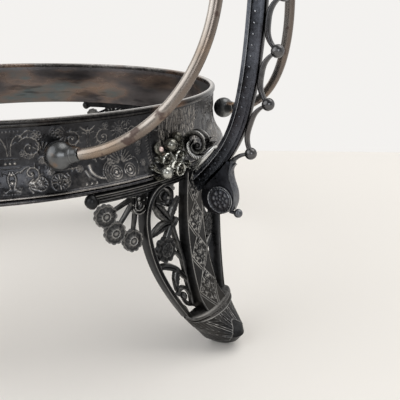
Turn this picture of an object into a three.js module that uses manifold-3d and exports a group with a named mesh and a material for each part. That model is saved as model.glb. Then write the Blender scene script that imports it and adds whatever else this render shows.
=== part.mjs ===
// Bride's basket: a silver-plated table frame that carries a glass bowl in its round collar.
// Millimetres, +Z up. The origin is on the table under the middle of the collar. The handle
// arches over in the XZ plane, and a foot stands under each handle root and a quarter turn on.

import * as THREE from "three";
import { mergeVertices } from "three/addons/utils/BufferGeometryUtils.js";
import Module from "manifold-3d";

const wasm = await Module();
wasm.setup();

// Driving dimensions

// Collar
const COLLAR_RADIUS = 65.5;         // outside of the sheet in its upright upper half
const COLLAR_SHEET = 1.1;           // thickness of the sheet
const COLLAR_HEIGHT = 17.8;         // lower edge to the top of the rim wire
const LEG_HEIGHT = 51.5;            // table to the collar's lower edge
const FLARE_HEIGHT = 9.5;           // how far up the collar the flare begins
const FLARE_OUT = 2.8;              // how far the flare leads outwards
const RIM_WIRE_HEIGHT = 1.6;
const RIM_WIRE_OUT = 0.5;           // how far the wire stands proud of the sheet
const RIM_WIRE_ROUND = 0.35;        // rounded corner of the wire
const MOULDING_HEIGHT = 1.7;        // double bead on the lower edge
const MOULDING_OUT = 0.8;           // how far the lower bead stands proud of the sheet
const MOULDING_GROOVE = 0.45;       // depth of the groove between the two beads
const COLLAR_FACETS = 40;           // a multiple of four
const FLARE_STEPS = 2;              // steps in the flare's curve

// Feet
const FOOT_RADIUS = 70.8;           // outside of the casting at the collar
const FOOT_FLARE = 6.0;             // how far the ankle stands further out
const FOOT_FLARE_START = 42.9;      // height at which the flare begins
const FOOT_FLARE_POWER = 2.25;      // how late the flare sets in
const FOOT_DEPTH = 3.9;             // depth of the rim strip, front to back
const FOOT_HALF_WIDTH = 18.8;       // at its widest
const FOOT_TOP_HALF_WIDTH = 15.2;   // under the collar
const ANKLE_HALF_WIDTH = 10.6;      // at the cross moulding
const ANKLE_HEIGHT = 10.3;          // height of the cross moulding's lower side
const BELLY_SHARE = 0.72;           // how far up from the ankle the foot is widest
const FRONT_SEGMENTS = 2;           // steps in each curve of the pierced front
const STRIP_WIDTH = 1.5;            // rim strip, seen from the front
const PANEL_TOP_HALF_WIDTH = 3.3;
const PANEL_FOOT_HALF_WIDTH = 4.7;
const PANEL_OUT = 1.5;              // how far the panel stands proud at the ankle
const PANEL_LIP = 0.1;              // how far it stands proud under the collar
const FRET_THICKNESS = 1.2;         // pierced flower and leaf work
const FRET_SINK = 1.8;              // how far its front lies behind the strip's
const FRET_WIDTH = 1.5;             // its stalks
const FRET_LEAF_WIDTH = 2.5;
const FRET_BLOOM_RADIUS = 3.5;
const ANKLE_DEPTH = 3.0;            // depth of the toe and its moulding at the ankle
const ANKLE_MOULDING_HEIGHT = 2.8;
const ANKLE_BEAD_OUT = 0.5;         // how far both its beads stand proud
const ANKLE_BOW = 2.8;              // how far its middle is in front of its ends
const TOE_REACH = 87.5;             // tip of the toe from the collar's axis
const TOE_TIP_HEIGHT = 4.6;
const SOLE_BACK = 78.5;             // the flat sole lies between these two radii
const SOLE_FRONT = 82.2;
const SOLE_HALF_WIDTH = 1.6;
const TOE_STEP = 0.3;               // how far the moulding stands over the toe's top
const TOE_SIDE = 0.4;               // straight part of its sides, behind the bow
const BOW_STEPS = 6;                // steps in the bowed front of the toe and the moulding

// Fans beside the feet
const FAN_BAR_HEIGHT = 1.7;
const FAN_BAR_ARC = 31.2;           // half length of the bar, along its curve
const FAN_DEPTH = 2.0;
const FAN_RADIUS = 69.9;            // outside of the bar
const FAN_HUB_ARC = 19.8;           // hub from the foot's middle, along the curve
const FAN_HUB_DROP = 5.2;           // middle of its round end below the collar
const FAN_HUB_RADIUS = 2.4;
const FAN_SPOKE_DROP = 2.6;         // where the spokes meet, below the collar
const FAN_SPOKE_LENGTH = 9.9;       // from there to the middle of the first daisy
const FAN_SPOKE_GROWTH = 1.0;       // how much longer each further spoke is
const FAN_SPOKE_WIDTH = 1.0;
const FAN_FIRST_ANGLE = 20.5;       // degrees below level
const FAN_STEP_ANGLE = 29.4;
const FAN_DAISIES = 3;
const DAISY_RADIUS = 2.85;
const DAISY_PETALS = 6;
const FAN_BALL_RADIUS = 1.5;

// Handle bar: a flat strip on edge, with raised borders on both its sides
const BAR_WIDTH = 4.0;              // in the plane of the handle
const BAR_THICKNESS = 2.1;          // across it
const BAR_INNER_BORDER = 0.9;
const BAR_OUTER_BORDER = 0.6;
const BAR_CHANNEL_DEPTH = 0.4;
const BAR_ROOT_DROP = 5.3;          // lower end below the collar's lower edge
const BAR_ROOT_INSET = 0.6;         // the line's end behind the foot's outside
const BAR_ROOT_ANGLE = 47;          // degrees above level at which the bar leaves the foot
const BAR_ROOT_REACH = 20.9;        // strength of that direction
const BAR_OUT = 16.7;               // upright part from the foot's outside
const BAR_UPRIGHT_REACH = 62.3;     // strength of the upright direction below the shoulder
const SHOULDER_HEIGHT = 125;        // where the arch begins
const HANDLE_HEIGHT = 262;          // table to the bar's middle line at the top
const BEND_LENGTH = 45;             // length of the tight bend at each root
const BEND_STEP = 7;                // distance between its sections there
const ARCH_STEP = 15;               // and above

// Round rods
const ROD_RADIUS = 1.3;
const KNOB_RADIUS = 3.3;
const KNOB_ANGLE = 31.4;            // degrees round the collar from the handle's plane
const KNOB_RISE = 10.2;             // above the collar's lower edge
const NECK_LENGTH = 5.0;            // from the ball's middle
const ROD_HEADING = 14;             // degrees, first turn towards the handle's plane
const ROD_CLIMB = 9;                // degrees, first climb
const ROD_FIRST_REACH = 12;         // strength of the first direction
const ROD_BEND_REACH = 19;          // strength of the direction in which it meets the bar's line
const ROD_BEND_HEIGHT = 93.1;       // above this the rod follows the bar's line
const ROD_BEND_SPREAD = 18.6;       // from the handle's plane at that height
const ROD_LEAN = -0.2;              // sideways travel per unit of height there
const CLASP_HEIGHT = 165;           // where the rods meet the bar
const ROD_STEPS = 7;                // steps in each part of the rod's line

// Edging with small balls
const SWAG_COUNT = 42;              // even, so that one ball is at the top
const SWAG_START_RISE = 9.4;        // the lowest ball above the collar's lower edge
const EDGING_WIDTH = 1.2;
const EDGING_THICKNESS = 1.7;
const BALL_RADIUS = 1.55;
const BALL_OUT = 6.0;               // ball from the bar's middle line

// Terminal plate, scroll, blossoms and clasps
const PLATE_THICKNESS = 2.1;
const PLATE_OUT = 7.9;              // rosette from the foot's outside
const PLATE_DROP = 6.8;             // rosette below the collar
const ROSETTE_RADIUS = 3.5;
const ROSETTE_OUT = 0.9;
const PENDANT_RADIUS = 1.2;
const SCROLL_RADIUS = 3.2;
const SCROLL_RISE = 6.6;            // middle above the collar's lower edge
const SCROLL_OUT = 1.9;             // how far its strip stays off the collar
const SCROLL_STRIP = 1.1;
const SCROLL_WIDTH = 2.6;
const SCROLL_EYE = 1.05;
const SCROLL_TURN = 470;            // degrees from its outer end to its inner end
const SCROLL_STEPS = 15;
const BERRY_RADIUS = 1.65;
const BLOOM_RADIUS = 2.05;
const CLUSTER_LEAF = 1.3;           // thickness of the leaf under the berries
const CLASP_LENGTH = 3.2;
const CLASP_WALL = 1.3;

// Space left between soldered pieces
const SEAT_GAP = 0.3;

const QUARTER = Math.PI / 2;
const radians = THREE.MathUtils.degToRad;
const RIM_TOP = LEG_HEIGHT + COLLAR_HEIGHT;

// Materials

const oxidised = { color: 0x3a3937, roughness: 0.42, metalness: 0.9 };
const darkMaterial = new THREE.MeshStandardMaterial(oxidised);
const wornMaterial = new THREE.MeshStandardMaterial({ color: 0x7d746b, roughness: 0.3, metalness: 0.95 });
const castMaterial = new THREE.MeshStandardMaterial({ color: 0x474441, roughness: 0.5, metalness: 0.85 });

// Geometry helpers

// Volume inside a closed indexed geometry, negative where its faces point inwards
function signedVolume(geometry) {
  const position = geometry.attributes.position;
  const index = geometry.index.array;
  const corner = [0, 1, 2].map(() => new THREE.Vector3());
  let volume = 0;
  for (let i = 0; i < index.length; i += 3) {
    corner.forEach((point, k) => point.fromBufferAttribute(position, index[i + k]));
    volume += corner[0].dot(corner[1].cross(corner[2])) / 6;
  }
  return volume;
}

// Geometry with shared vertices, no flat triangles and all faces pointing outwards
function weld(geometry) {
  const bare = geometry.clone();
  bare.deleteAttribute("normal");
  bare.deleteAttribute("uv");
  const merged = mergeVertices(bare, 1e-4);
  const source = merged.index.array;
  const kept = [];
  for (let i = 0; i < source.length; i += 3) {
    const [a, b, c] = [source[i], source[i + 1], source[i + 2]];
    if (a !== b && b !== c && c !== a) kept.push(a, b, c);
  }
  merged.setIndex(kept);
  return signedVolume(merged) < 0 ? flip(merged) : merged;
}

function flip(geometry) {
  const index = Array.from(geometry.index.array);
  for (let i = 0; i < index.length; i += 3) {
    [index[i + 1], index[i + 2]] = [index[i + 2], index[i + 1]];
  }
  geometry.setIndex(index);
  return geometry;
}

// The same form on the other side of the handle's plane
function mirrored(geometry) {
  return weld(geometry.clone().applyMatrix4(new THREE.Matrix4().makeScale(1, -1, 1)));
}

function toSolid(geometry) {
  const closed = weld(geometry);
  const vertProperties = new Float32Array(closed.attributes.position.array);
  const triVerts = new Uint32Array(closed.index.array);
  return new wasm.Manifold(new wasm.Mesh({ numProp: 3, vertProperties, triVerts }));
}

function toGeometry(solid) {
  const mesh = solid.getMesh();
  const geometry = new THREE.BufferGeometry();
  geometry.setAttribute("position", new THREE.BufferAttribute(new Float32Array(mesh.vertProperties), 3));
  geometry.setIndex(new THREE.BufferAttribute(new Uint32Array(mesh.triVerts), 1));
  return geometry;
}

function joinAll(solids) {
  return solids.reduce((whole, next) => whole.add(next));
}

// A closed body of revolution about Z from [radius, height] pairs
function turned(profile, facets) {
  const points = profile.map(([radius, height]) => new THREE.Vector2(radius, height));
  return new THREE.LatheGeometry(points, facets).rotateX(QUARTER);
}

// A ring of revolution: its outline closes on itself
function turnedRing(outline, facets = COLLAR_FACETS) {
  return turned([...outline, outline[0]], facets);
}

// An outline drawn on the front (x to +Y, y to +Z), extruded along +X between two planes
function extrudedAlongX(shape, from, to, curveSegments = 4) {
  const geometry = new THREE.ExtrudeGeometry(shape, { depth: to - from, bevelEnabled: false, curveSegments });
  const axes = new THREE.Matrix4().makeBasis(
    new THREE.Vector3(0, 1, 0),
    new THREE.Vector3(0, 0, 1),
    new THREE.Vector3(1, 0, 0),
  );
  return geometry.applyMatrix4(axes).translate(from, 0, 0);
}

// An outline drawn in the handle's plane (x to +X, y to +Z), centred on that plane
function extrudedAcross(shape, thickness, curveSegments = 4) {
  const geometry = new THREE.ExtrudeGeometry(shape, { depth: thickness, bevelEnabled: false, curveSegments });
  return geometry.rotateX(QUARTER).translate(0, thickness / 2, 0);
}

// A curved slab round the Z axis: it spans an angle each side of +X and follows radiusAt(height)
function curvedSlab({ halfAngle, low, high, radiusAt, inner, outer, across = 8, up = 1 }) {
  const geometry = new THREE.BoxGeometry(1, 1, 1, 1, across, up);
  const position = geometry.attributes.position;
  for (let i = 0; i < position.count; i += 1) {
    const height = THREE.MathUtils.lerp(low, high, position.getZ(i) + 0.5);
    const angle = 2 * halfAngle * position.getY(i);
    const radius = radiusAt(height) + THREE.MathUtils.lerp(inner, outer, position.getX(i) + 0.5);
    position.setXYZ(i, radius * Math.cos(angle), radius * Math.sin(angle), height);
  }
  return geometry;
}

// Wraps a geometry drawn flat (x outwards, y along the curve, z up) round a cylinder about Z
function wrapped(geometry, radius) {
  const position = geometry.attributes.position;
  for (let i = 0; i < position.count; i += 1) {
    const reach = radius + position.getX(i);
    const angle = position.getY(i) / radius;
    position.setXYZ(i, reach * Math.cos(angle), reach * Math.sin(angle), position.getZ(i));
  }
  return geometry;
}

// A closed body through rings of points that all have the same section
function lofted(rings, section) {
  const size = section.length;
  const vertices = rings.flat().flatMap((point) => [point.x, point.y, point.z]);
  const index = [];
  for (let ring = 0; ring + 1 < rings.length; ring += 1) {
    for (let k = 0; k < size; k += 1) {
      const a = ring * size + k;
      const b = ring * size + ((k + 1) % size);
      index.push(a, b, b + size, a, b + size, a + size);
    }
  }
  const caps = THREE.ShapeUtils.triangulateShape(section, []);
  const last = (rings.length - 1) * size;
  caps.forEach(([a, b, c]) => index.push(a, c, b, last + a, last + b, last + c));
  const geometry = new THREE.BufferGeometry();
  geometry.setAttribute("position", new THREE.Float32BufferAttribute(vertices, 3));
  geometry.setIndex(index);
  return weld(geometry);
}

function roundSection(radius, sides) {
  return Array.from({ length: sides }, (_, k) => {
    const angle = (2 * Math.PI * (k + 0.5)) / sides;
    return new THREE.Vector2(radius * Math.cos(angle), radius * Math.sin(angle));
  });
}

function boxSection(width, thickness) {
  return [[-1, -1], [1, -1], [1, 1], [-1, 1]].map(([a, b]) => {
    return new THREE.Vector2((a * width) / 2, (b * thickness) / 2);
  });
}

function ball(radius, x, y, z, around = 6, rows = 4) {
  return toSolid(new THREE.SphereGeometry(radius, around, rows).rotateX(QUARTER).translate(x, y, z));
}

// A flower outline: round petals as a wave on a circle
function petalOutline(radius, petals, depth = 0.16) {
  const count = petals * 2;
  const points = Array.from({ length: count }, (_, k) => {
    const reach = radius * (k % 2 === 0 ? 1 : 1 - depth);
    const angle = (2 * Math.PI * k) / count;
    return new THREE.Vector2(reach * Math.cos(angle), reach * Math.sin(angle));
  });
  return new THREE.Shape(points);
}

// A leaf from its stalk to its tip, drawn on the front
function leafOutline(stalk, tip, width, bend = 0) {
  const along = new THREE.Vector2(tip[0] - stalk[0], tip[1] - stalk[1]);
  const side = new THREE.Vector2(-along.y, along.x).normalize();
  const middle = new THREE.Vector2(stalk[0], stalk[1]);
  middle.addScaledVector(along, 0.45).addScaledVector(side, bend);
  const shape = new THREE.Shape();
  shape.moveTo(stalk[0], stalk[1]);
  shape.quadraticCurveTo(middle.x + side.x * width, middle.y + side.y * width, tip[0], tip[1]);
  shape.quadraticCurveTo(middle.x - side.x * width, middle.y - side.y * width, stalk[0], stalk[1]);
  return shape;
}

// A strip of even width along a curve, drawn on the front
function stripOutline(points, width, steps = 6) {
  const curve = new THREE.SplineCurve(points.map(([y, z]) => new THREE.Vector2(y, z)));
  const left = [];
  const right = [];
  for (let i = 0; i <= steps; i += 1) {
    const point = curve.getPoint(i / steps);
    const tangent = curve.getTangent(i / steps);
    const side = new THREE.Vector2(-tangent.y, tangent.x).multiplyScalar(width / 2);
    left.push(point.clone().add(side));
    right.unshift(point.clone().sub(side));
  }
  return new THREE.Shape([...left, ...right]);
}

// Collar: sheet band, rim wire and lower moulding

const WIRE_SEAT = RIM_TOP - RIM_WIRE_HEIGHT;
const MOULDING_TOP = LEG_HEIGHT + MOULDING_HEIGHT;
const FLARE_TOP = LEG_HEIGHT + FLARE_HEIGHT;

// Outside of the sheet: upright above, a hollow flare below, upright again behind the moulding
function sheetRadius(height) {
  const fall = THREE.MathUtils.clamp((FLARE_TOP - height) / (FLARE_TOP - MOULDING_TOP), 0, 1);
  return COLLAR_RADIUS + FLARE_OUT * fall * fall;
}

function collarGeometry() {
  const heights = [WIRE_SEAT, FLARE_TOP];
  for (let step = 1; step <= FLARE_STEPS; step += 1) {
    heights.push(THREE.MathUtils.lerp(FLARE_TOP, MOULDING_TOP, step / FLARE_STEPS));
  }
  heights.push(LEG_HEIGHT);
  const outside = heights.map((height) => [sheetRadius(height), height]);
  const inside = heights.map((height) => [sheetRadius(height) - COLLAR_SHEET, height]).reverse();
  return turnedRing([...outside, ...inside]);
}

function rimWireGeometry() {
  const inner = COLLAR_RADIUS - COLLAR_SHEET;
  const outer = COLLAR_RADIUS + RIM_WIRE_OUT;
  return turnedRing([
    [inner, WIRE_SEAT],
    [outer, WIRE_SEAT],
    [outer, RIM_TOP - RIM_WIRE_ROUND],
    [outer - RIM_WIRE_ROUND, RIM_TOP],
    [inner + RIM_WIRE_ROUND, RIM_TOP],
    [inner, RIM_TOP - RIM_WIRE_ROUND],
  ]);
}

function mouldingGeometry() {
  const seat = COLLAR_RADIUS + FLARE_OUT;
  const outer = seat + MOULDING_OUT;
  return turnedRing([
    [seat, LEG_HEIGHT],
    [outer, LEG_HEIGHT],
    [outer, LEG_HEIGHT + 0.4 * MOULDING_HEIGHT],
    [outer - MOULDING_GROOVE, LEG_HEIGHT + 0.55 * MOULDING_HEIGHT],
    [outer - MOULDING_GROOVE / 2, LEG_HEIGHT + 0.75 * MOULDING_HEIGHT],
    [seat, MOULDING_TOP],
  ]);
}

// What soldered pieces keep clear of: the collar, its wire and its moulding with the seat gap
function collarEnvelope(height) {
  const moulding = height < MOULDING_TOP + SEAT_GAP ? COLLAR_RADIUS + FLARE_OUT + MOULDING_OUT : 0;
  const wire = height > WIRE_SEAT - SEAT_GAP ? COLLAR_RADIUS + RIM_WIRE_OUT : 0;
  return Math.max(sheetRadius(height), moulding, wire) + SEAT_GAP;
}

function collarClearance() {
  const heights = [LEG_HEIGHT - SEAT_GAP, MOULDING_TOP + SEAT_GAP - 0.01, MOULDING_TOP + SEAT_GAP];
  for (let step = 1; step <= FLARE_STEPS; step += 1) {
    heights.push(THREE.MathUtils.lerp(MOULDING_TOP, FLARE_TOP, step / FLARE_STEPS));
  }
  heights.push(RIM_TOP + SEAT_GAP);
  const core = COLLAR_RADIUS / 2;
  const outside = heights.map((height) => [collarEnvelope(height), height]);
  return toSolid(turnedRing([...outside, [core, RIM_TOP + SEAT_GAP], [core, LEG_HEIGHT - SEAT_GAP]]));
}

// Foot: one casting, drawn about the +X direction

const ANKLE_TOP = ANKLE_HEIGHT + ANKLE_MOULDING_HEIGHT;
const FRONT_LOW = ANKLE_TOP - 0.4 * ANKLE_MOULDING_HEIGHT;
const TOE_HIGH = ANKLE_HEIGHT + 0.3 * ANKLE_MOULDING_HEIGHT;

function footRadius(height) {
  const fall = Math.max(0, (FOOT_FLARE_START - height) / (FOOT_FLARE_START - ANKLE_HEIGHT));
  return FOOT_RADIUS + FOOT_FLARE * fall ** FOOT_FLARE_POWER;
}

const ankleRadius = footRadius(ANKLE_HEIGHT);

function panelRadius(height) {
  const fall = Math.max(0, (FOOT_FLARE_START - height) / (FOOT_FLARE_START - ANKLE_HEIGHT));
  return footRadius(height) + PANEL_OUT * fall;
}

// Right half of the foot's front, from inside the panel to the outer edge of the rim strip
function halfOutline() {
  const belly = THREE.MathUtils.lerp(ANKLE_HEIGHT, LEG_HEIGHT, BELLY_SHARE);
  const insidePanel = PANEL_TOP_HALF_WIDTH - 0.4 * STRIP_WIDTH;
  const shape = new THREE.Shape();
  shape.moveTo(ANKLE_HALF_WIDTH, FRONT_LOW);
  shape.bezierCurveTo(
    THREE.MathUtils.lerp(ANKLE_HALF_WIDTH, FOOT_HALF_WIDTH, 0.55),
    THREE.MathUtils.lerp(ANKLE_HEIGHT, belly, 0.3),
    FOOT_HALF_WIDTH, THREE.MathUtils.lerp(ANKLE_HEIGHT, belly, 0.55),
    FOOT_HALF_WIDTH, belly,
  );
  const shoulder = THREE.MathUtils.lerp(belly, LEG_HEIGHT, 0.6);
  shape.quadraticCurveTo(FOOT_HALF_WIDTH, shoulder, FOOT_TOP_HALF_WIDTH, LEG_HEIGHT);
  shape.lineTo(insidePanel, LEG_HEIGHT);
  const middle = (LEG_HEIGHT + ANKLE_HEIGHT) / 2;
  shape.quadraticCurveTo(insidePanel - STRIP_WIDTH / 3, middle, insidePanel, FRONT_LOW);
  return new THREE.Shape(shape.getPoints(FRONT_SEGMENTS + 1));
}

// The opening between the rim strip and the panel, with an arched top
function openingOutline() {
  const low = ANKLE_TOP;
  const high = LEG_HEIGHT - FAN_BAR_HEIGHT - STRIP_WIDTH / 2;
  const belly = THREE.MathUtils.lerp(ANKLE_HEIGHT, LEG_HEIGHT, BELLY_SHARE);
  const widest = FOOT_HALF_WIDTH - STRIP_WIDTH;
  const ankle = ANKLE_HALF_WIDTH - STRIP_WIDTH;
  const panelTop = PANEL_TOP_HALF_WIDTH + 0.6 * STRIP_WIDTH;
  const panelFoot = PANEL_FOOT_HALF_WIDTH + 0.3 * STRIP_WIDTH;
  const shape = new THREE.Shape();
  shape.moveTo(panelFoot, low);
  shape.lineTo(ankle - STRIP_WIDTH, low);
  shape.bezierCurveTo(
    THREE.MathUtils.lerp(ankle, widest, 0.62), THREE.MathUtils.lerp(low, belly, 0.32),
    widest, THREE.MathUtils.lerp(low, belly, 0.58),
    widest, belly,
  );
  shape.quadraticCurveTo(widest, high - STRIP_WIDTH, FOOT_TOP_HALF_WIDTH - 2.5 * STRIP_WIDTH, high);
  shape.quadraticCurveTo(panelTop + 1.7 * STRIP_WIDTH, high, panelTop, high - 3.3 * STRIP_WIDTH);
  const waist = (panelTop + panelFoot) / 2 - 0.3 * STRIP_WIDTH;
  shape.quadraticCurveTo(waist, (low + high) / 2, panelFoot, low);
  return shape;
}

function panelOutline() {
  return new THREE.Shape([
    new THREE.Vector2(-PANEL_FOOT_HALF_WIDTH, ANKLE_HEIGHT),
    new THREE.Vector2(PANEL_FOOT_HALF_WIDTH, ANKLE_HEIGHT),
    new THREE.Vector2(PANEL_TOP_HALF_WIDTH, LEG_HEIGHT),
    new THREE.Vector2(-PANEL_TOP_HALF_WIDTH, LEG_HEIGHT),
  ]);
}

// A point of the front by its shares of the foot's half width and of the height over the ankle
function onFront(across, up) {
  return [across * FOOT_HALF_WIDTH, THREE.MathUtils.lerp(ANKLE_HEIGHT, LEG_HEIGHT, up)];
}

// Flower and leaf work for the right-hand opening: what is left standing between the piercings
function fretOutlines() {
  const strip = (width, steps, ...shares) => {
    return stripOutline(shares.map(([y, z]) => onFront(y, z)), width, steps);
  };
  const leaf = (stalk, tip, width, bend) => leafOutline(onFront(...stalk), onFront(...tip), width, bend);
  const bloomMiddle = new THREE.Vector2(...onFront(0.61, 0.50));
  const bloom = new THREE.Shape(petalOutline(FRET_BLOOM_RADIUS, 5).getPoints().map((point) => {
    return point.clone().add(bloomMiddle);
  }));
  return [
    strip(FRET_WIDTH, 5, [0.23, 0.82], [0.48, 0.67], [0.30, 0.47], [0.26, 0.24], [0.28, 0.05]),
    strip(1.5 * FRET_WIDTH, 4, [0.73, 0.93], [0.73, 0.87], [0.57, 0.83], [0.51, 0.92]),
    leaf([0.47, 0.68], [0.87, 0.85], FRET_LEAF_WIDTH),
    leaf([0.47, 0.67], [0.96, 0.61], FRET_LEAF_WIDTH, -0.4 * FRET_WIDTH),
    bloom,
    leaf([0.63, 0.48], [0.89, 0.42], FRET_WIDTH),
    strip(FRET_WIDTH, 3, [0.87, 0.40], [0.67, 0.41], [0.45, 0.37], [0.27, 0.24]),
    leaf([0.35, 0.31], [0.60, 0.18], FRET_WIDTH),
    strip(FRET_WIDTH, 2, [0.25, 0.12], [0.41, 0.17], [0.56, 0.13]),
  ];
}

// Hub, spokes and daisies of the right-hand fan
function fanOutlines() {
  const hub = new THREE.Shape();
  const hubTop = LEG_HEIGHT - FAN_BAR_HEIGHT / 2;
  hub.moveTo(FAN_HUB_ARC + FAN_HUB_RADIUS, hubTop);
  hub.lineTo(FAN_HUB_ARC - FAN_HUB_RADIUS, hubTop);
  hub.absarc(FAN_HUB_ARC, LEG_HEIGHT - FAN_HUB_DROP, FAN_HUB_RADIUS, Math.PI, 2 * Math.PI);
  const outlines = [hub];
  const meeting = LEG_HEIGHT - FAN_SPOKE_DROP;
  for (let k = 0; k < FAN_DAISIES; k += 1) {
    const angle = -radians(FAN_FIRST_ANGLE + k * FAN_STEP_ANGLE);
    const length = FAN_SPOKE_LENGTH + k * FAN_SPOKE_GROWTH;
    const arc = FAN_HUB_ARC + length * Math.cos(angle);
    const height = meeting + length * Math.sin(angle);
    outlines.push(stripOutline([[FAN_HUB_ARC, meeting], [arc, height]], FAN_SPOKE_WIDTH, 1));
    outlines.push(new THREE.Shape(petalOutline(DAISY_RADIUS, DAISY_PETALS).getPoints().map((point) => {
      return point.clone().add(new THREE.Vector2(arc, height));
    })));
  }
  return outlines;
}

// Right half of the pierced front with its fan, flat: x is the depth behind the casting's outside
function flatHalf() {
  const prism = (shape, from, to) => toSolid(extrudedAlongX(shape, from, to, FRONT_SEGMENTS));
  const opening = prism(openingOutline(), -2 * FOOT_DEPTH, FOOT_DEPTH);
  const fanFront = FAN_RADIUS - FOOT_RADIUS;
  const frets = fretOutlines().map((shape) => prism(shape, -FRET_SINK - FRET_THICKNESS, -FRET_SINK));
  const fans = fanOutlines().map((shape) => prism(shape, fanFront - FAN_DEPTH, fanFront));
  return prism(halfOutline(), -FOOT_DEPTH, 0).subtract(opening).add(joinAll([...frets, ...fans]));
}

// Bends the flat front onto the casting's flaring surface
function bent(geometry) {
  const position = geometry.attributes.position;
  for (let i = 0; i < position.count; i += 1) {
    const height = position.getZ(i);
    const surface = footRadius(height);
    const radius = surface + position.getX(i);
    const angle = position.getY(i) / surface;
    position.setXYZ(i, radius * Math.cos(angle), radius * Math.sin(angle), height);
  }
  return geometry;
}

// A body through level outlines that all have a straight back and a bowed front
function bowedLoft(levels) {
  const rings = levels.map(({ height, back, corner, front, halfWidth }) => {
    const bow = Array.from({ length: BOW_STEPS + 1 }, (_, k) => {
      const angle = Math.PI * (k / BOW_STEPS - 0.5);
      const reach = corner + (front - corner) * Math.cos(angle);
      return new THREE.Vector3(reach, halfWidth * Math.sin(angle), height);
    });
    return [...bow, new THREE.Vector3(back, halfWidth, height), new THREE.Vector3(back, -halfWidth, height)];
  });
  return toSolid(lofted(rings, rings[0].map((point) => new THREE.Vector2(point.x, point.y))));
}

// The toe: a flat sole, the foremost point a little above it, then back to the ankle
function toeSolid() {
  const { lerp } = THREE.MathUtils;
  const ankleBack = ankleRadius - ANKLE_DEPTH;
  const ankleFront = ankleRadius + ANKLE_BOW + TOE_STEP;
  const level = (height, front, backShare, widthShare) => {
    const back = lerp(SOLE_BACK, ankleBack, backShare);
    const halfWidth = lerp(SOLE_HALF_WIDTH, ANKLE_HALF_WIDTH - TOE_STEP, widthShare);
    return { height, back, corner: back + TOE_SIDE, front, halfWidth };
  };
  return bowedLoft([
    level(0, SOLE_FRONT, 0, 0),
    level(0.4 * TOE_TIP_HEIGHT, lerp(SOLE_FRONT, TOE_REACH, 0.66), 0.34, 0.24),
    level(TOE_TIP_HEIGHT, TOE_REACH, 0.6, 0.43),
    level(0.7 * ANKLE_HEIGHT, lerp(TOE_REACH, ankleFront, 0.3), 0.7, 0.7),
    level(TOE_HIGH, ankleFront, 1, 1),
  ]);
}

// The cross moulding over the toe: two beads and a groove
function ankleMoulding() {
  const proud = [0, 1, 0, 1, 0];
  return bowedLoft(proud.map((share, k) => {
    const out = share * ANKLE_BEAD_OUT;
    return {
      height: ANKLE_HEIGHT + (ANKLE_MOULDING_HEIGHT * k) / (proud.length - 1),
      back: ankleRadius - ANKLE_DEPTH,
      corner: ankleRadius + out,
      front: ankleRadius + ANKLE_BOW + out,
      halfWidth: ANKLE_HALF_WIDTH + out,
    };
  }));
}

function footGeometry() {
  const panel = toSolid(curvedSlab({
    halfAngle: radians(5), low: FRONT_LOW, high: LEG_HEIGHT,
    radiusAt: panelRadius, inner: -FOOT_DEPTH, outer: PANEL_LIP, across: 1, up: 5,
  })).intersect(toSolid(extrudedAlongX(panelOutline(), FOOT_RADIUS / 2, 2 * FOOT_RADIUS)));
  const bar = toSolid(curvedSlab({
    halfAngle: FAN_BAR_ARC / FAN_RADIUS, low: LEG_HEIGHT - FAN_BAR_HEIGHT, high: LEG_HEIGHT,
    radiusAt: () => FAN_RADIUS, inner: -FAN_DEPTH, outer: 0, across: 8,
  }));
  const ends = [-1, 1].map((side) => {
    const angle = (side * (FAN_BAR_ARC + 0.7 * FAN_BALL_RADIUS)) / FAN_RADIUS;
    const reach = FAN_RADIUS - FAN_DEPTH / 2;
    const height = LEG_HEIGHT - FAN_BAR_HEIGHT;
    return ball(FAN_BALL_RADIUS, reach * Math.cos(angle), reach * Math.sin(angle), height);
  });
  const half = bent(toGeometry(flatHalf()));
  const halves = [toSolid(half), toSolid(mirrored(half))];
  return toGeometry(joinAll([...halves, panel, bar, ankleMoulding(), toeSolid(), ...ends]));
}

// The front of a foot with the seat gap, for what is soldered on it
function footClearance() {
  return toSolid(curvedSlab({
    halfAngle: radians(12), low: ANKLE_TOP, high: LEG_HEIGHT,
    radiusAt: footRadius, inner: -4 * FOOT_DEPTH, outer: SEAT_GAP, across: 6, up: 5,
  }));
}

// Handle: one planar middle line from root to root, x to +X and y to +Z

function handleMiddleLine() {
  const rootX = FOOT_RADIUS - BAR_ROOT_INSET;
  const rootZ = LEG_HEIGHT - BAR_ROOT_DROP;
  const uprightX = FOOT_RADIUS + BAR_OUT;
  const leaveX = rootX + BAR_ROOT_REACH * Math.cos(radians(BAR_ROOT_ANGLE));
  const leaveZ = rootZ + BAR_ROOT_REACH * Math.sin(radians(BAR_ROOT_ANGLE));
  const risingZ = SHOULDER_HEIGHT - BAR_UPRIGHT_REACH;
  const path = new THREE.Path();
  path.moveTo(-rootX, rootZ);
  path.bezierCurveTo(-leaveX, leaveZ, -uprightX, risingZ, -uprightX, SHOULDER_HEIGHT);
  path.absellipse(0, SHOULDER_HEIGHT, uprightX, HANDLE_HEIGHT - SHOULDER_HEIGHT, Math.PI, 0, true);
  path.bezierCurveTo(uprightX, risingZ, leaveX, leaveZ, rootX, rootZ);
  return path;
}

const handleLine = handleMiddleLine();
handleLine.arcLengthDivisions = 600;
const HANDLE_LENGTH = handleLine.getLength();

// Point at a share of the line's length, moved outwards from the middle line and sideways
function handlePoint(share, outward = 0, sideways = 0) {
  const point = handleLine.getPointAt(share);
  const tangent = handleLine.getTangentAt(share);
  return new THREE.Vector3(point.x - tangent.y * outward, sideways, point.y + tangent.x * outward);
}

// Share of the line at which its right-hand side passes a height
function shareAtHeight(height) {
  let low = 0.5;
  let high = 1;
  for (let step = 0; step < 40; step += 1) {
    const middle = (low + high) / 2;
    if (handleLine.getPointAt(middle).y > height) low = middle;
    else high = middle;
  }
  return low;
}

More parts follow.
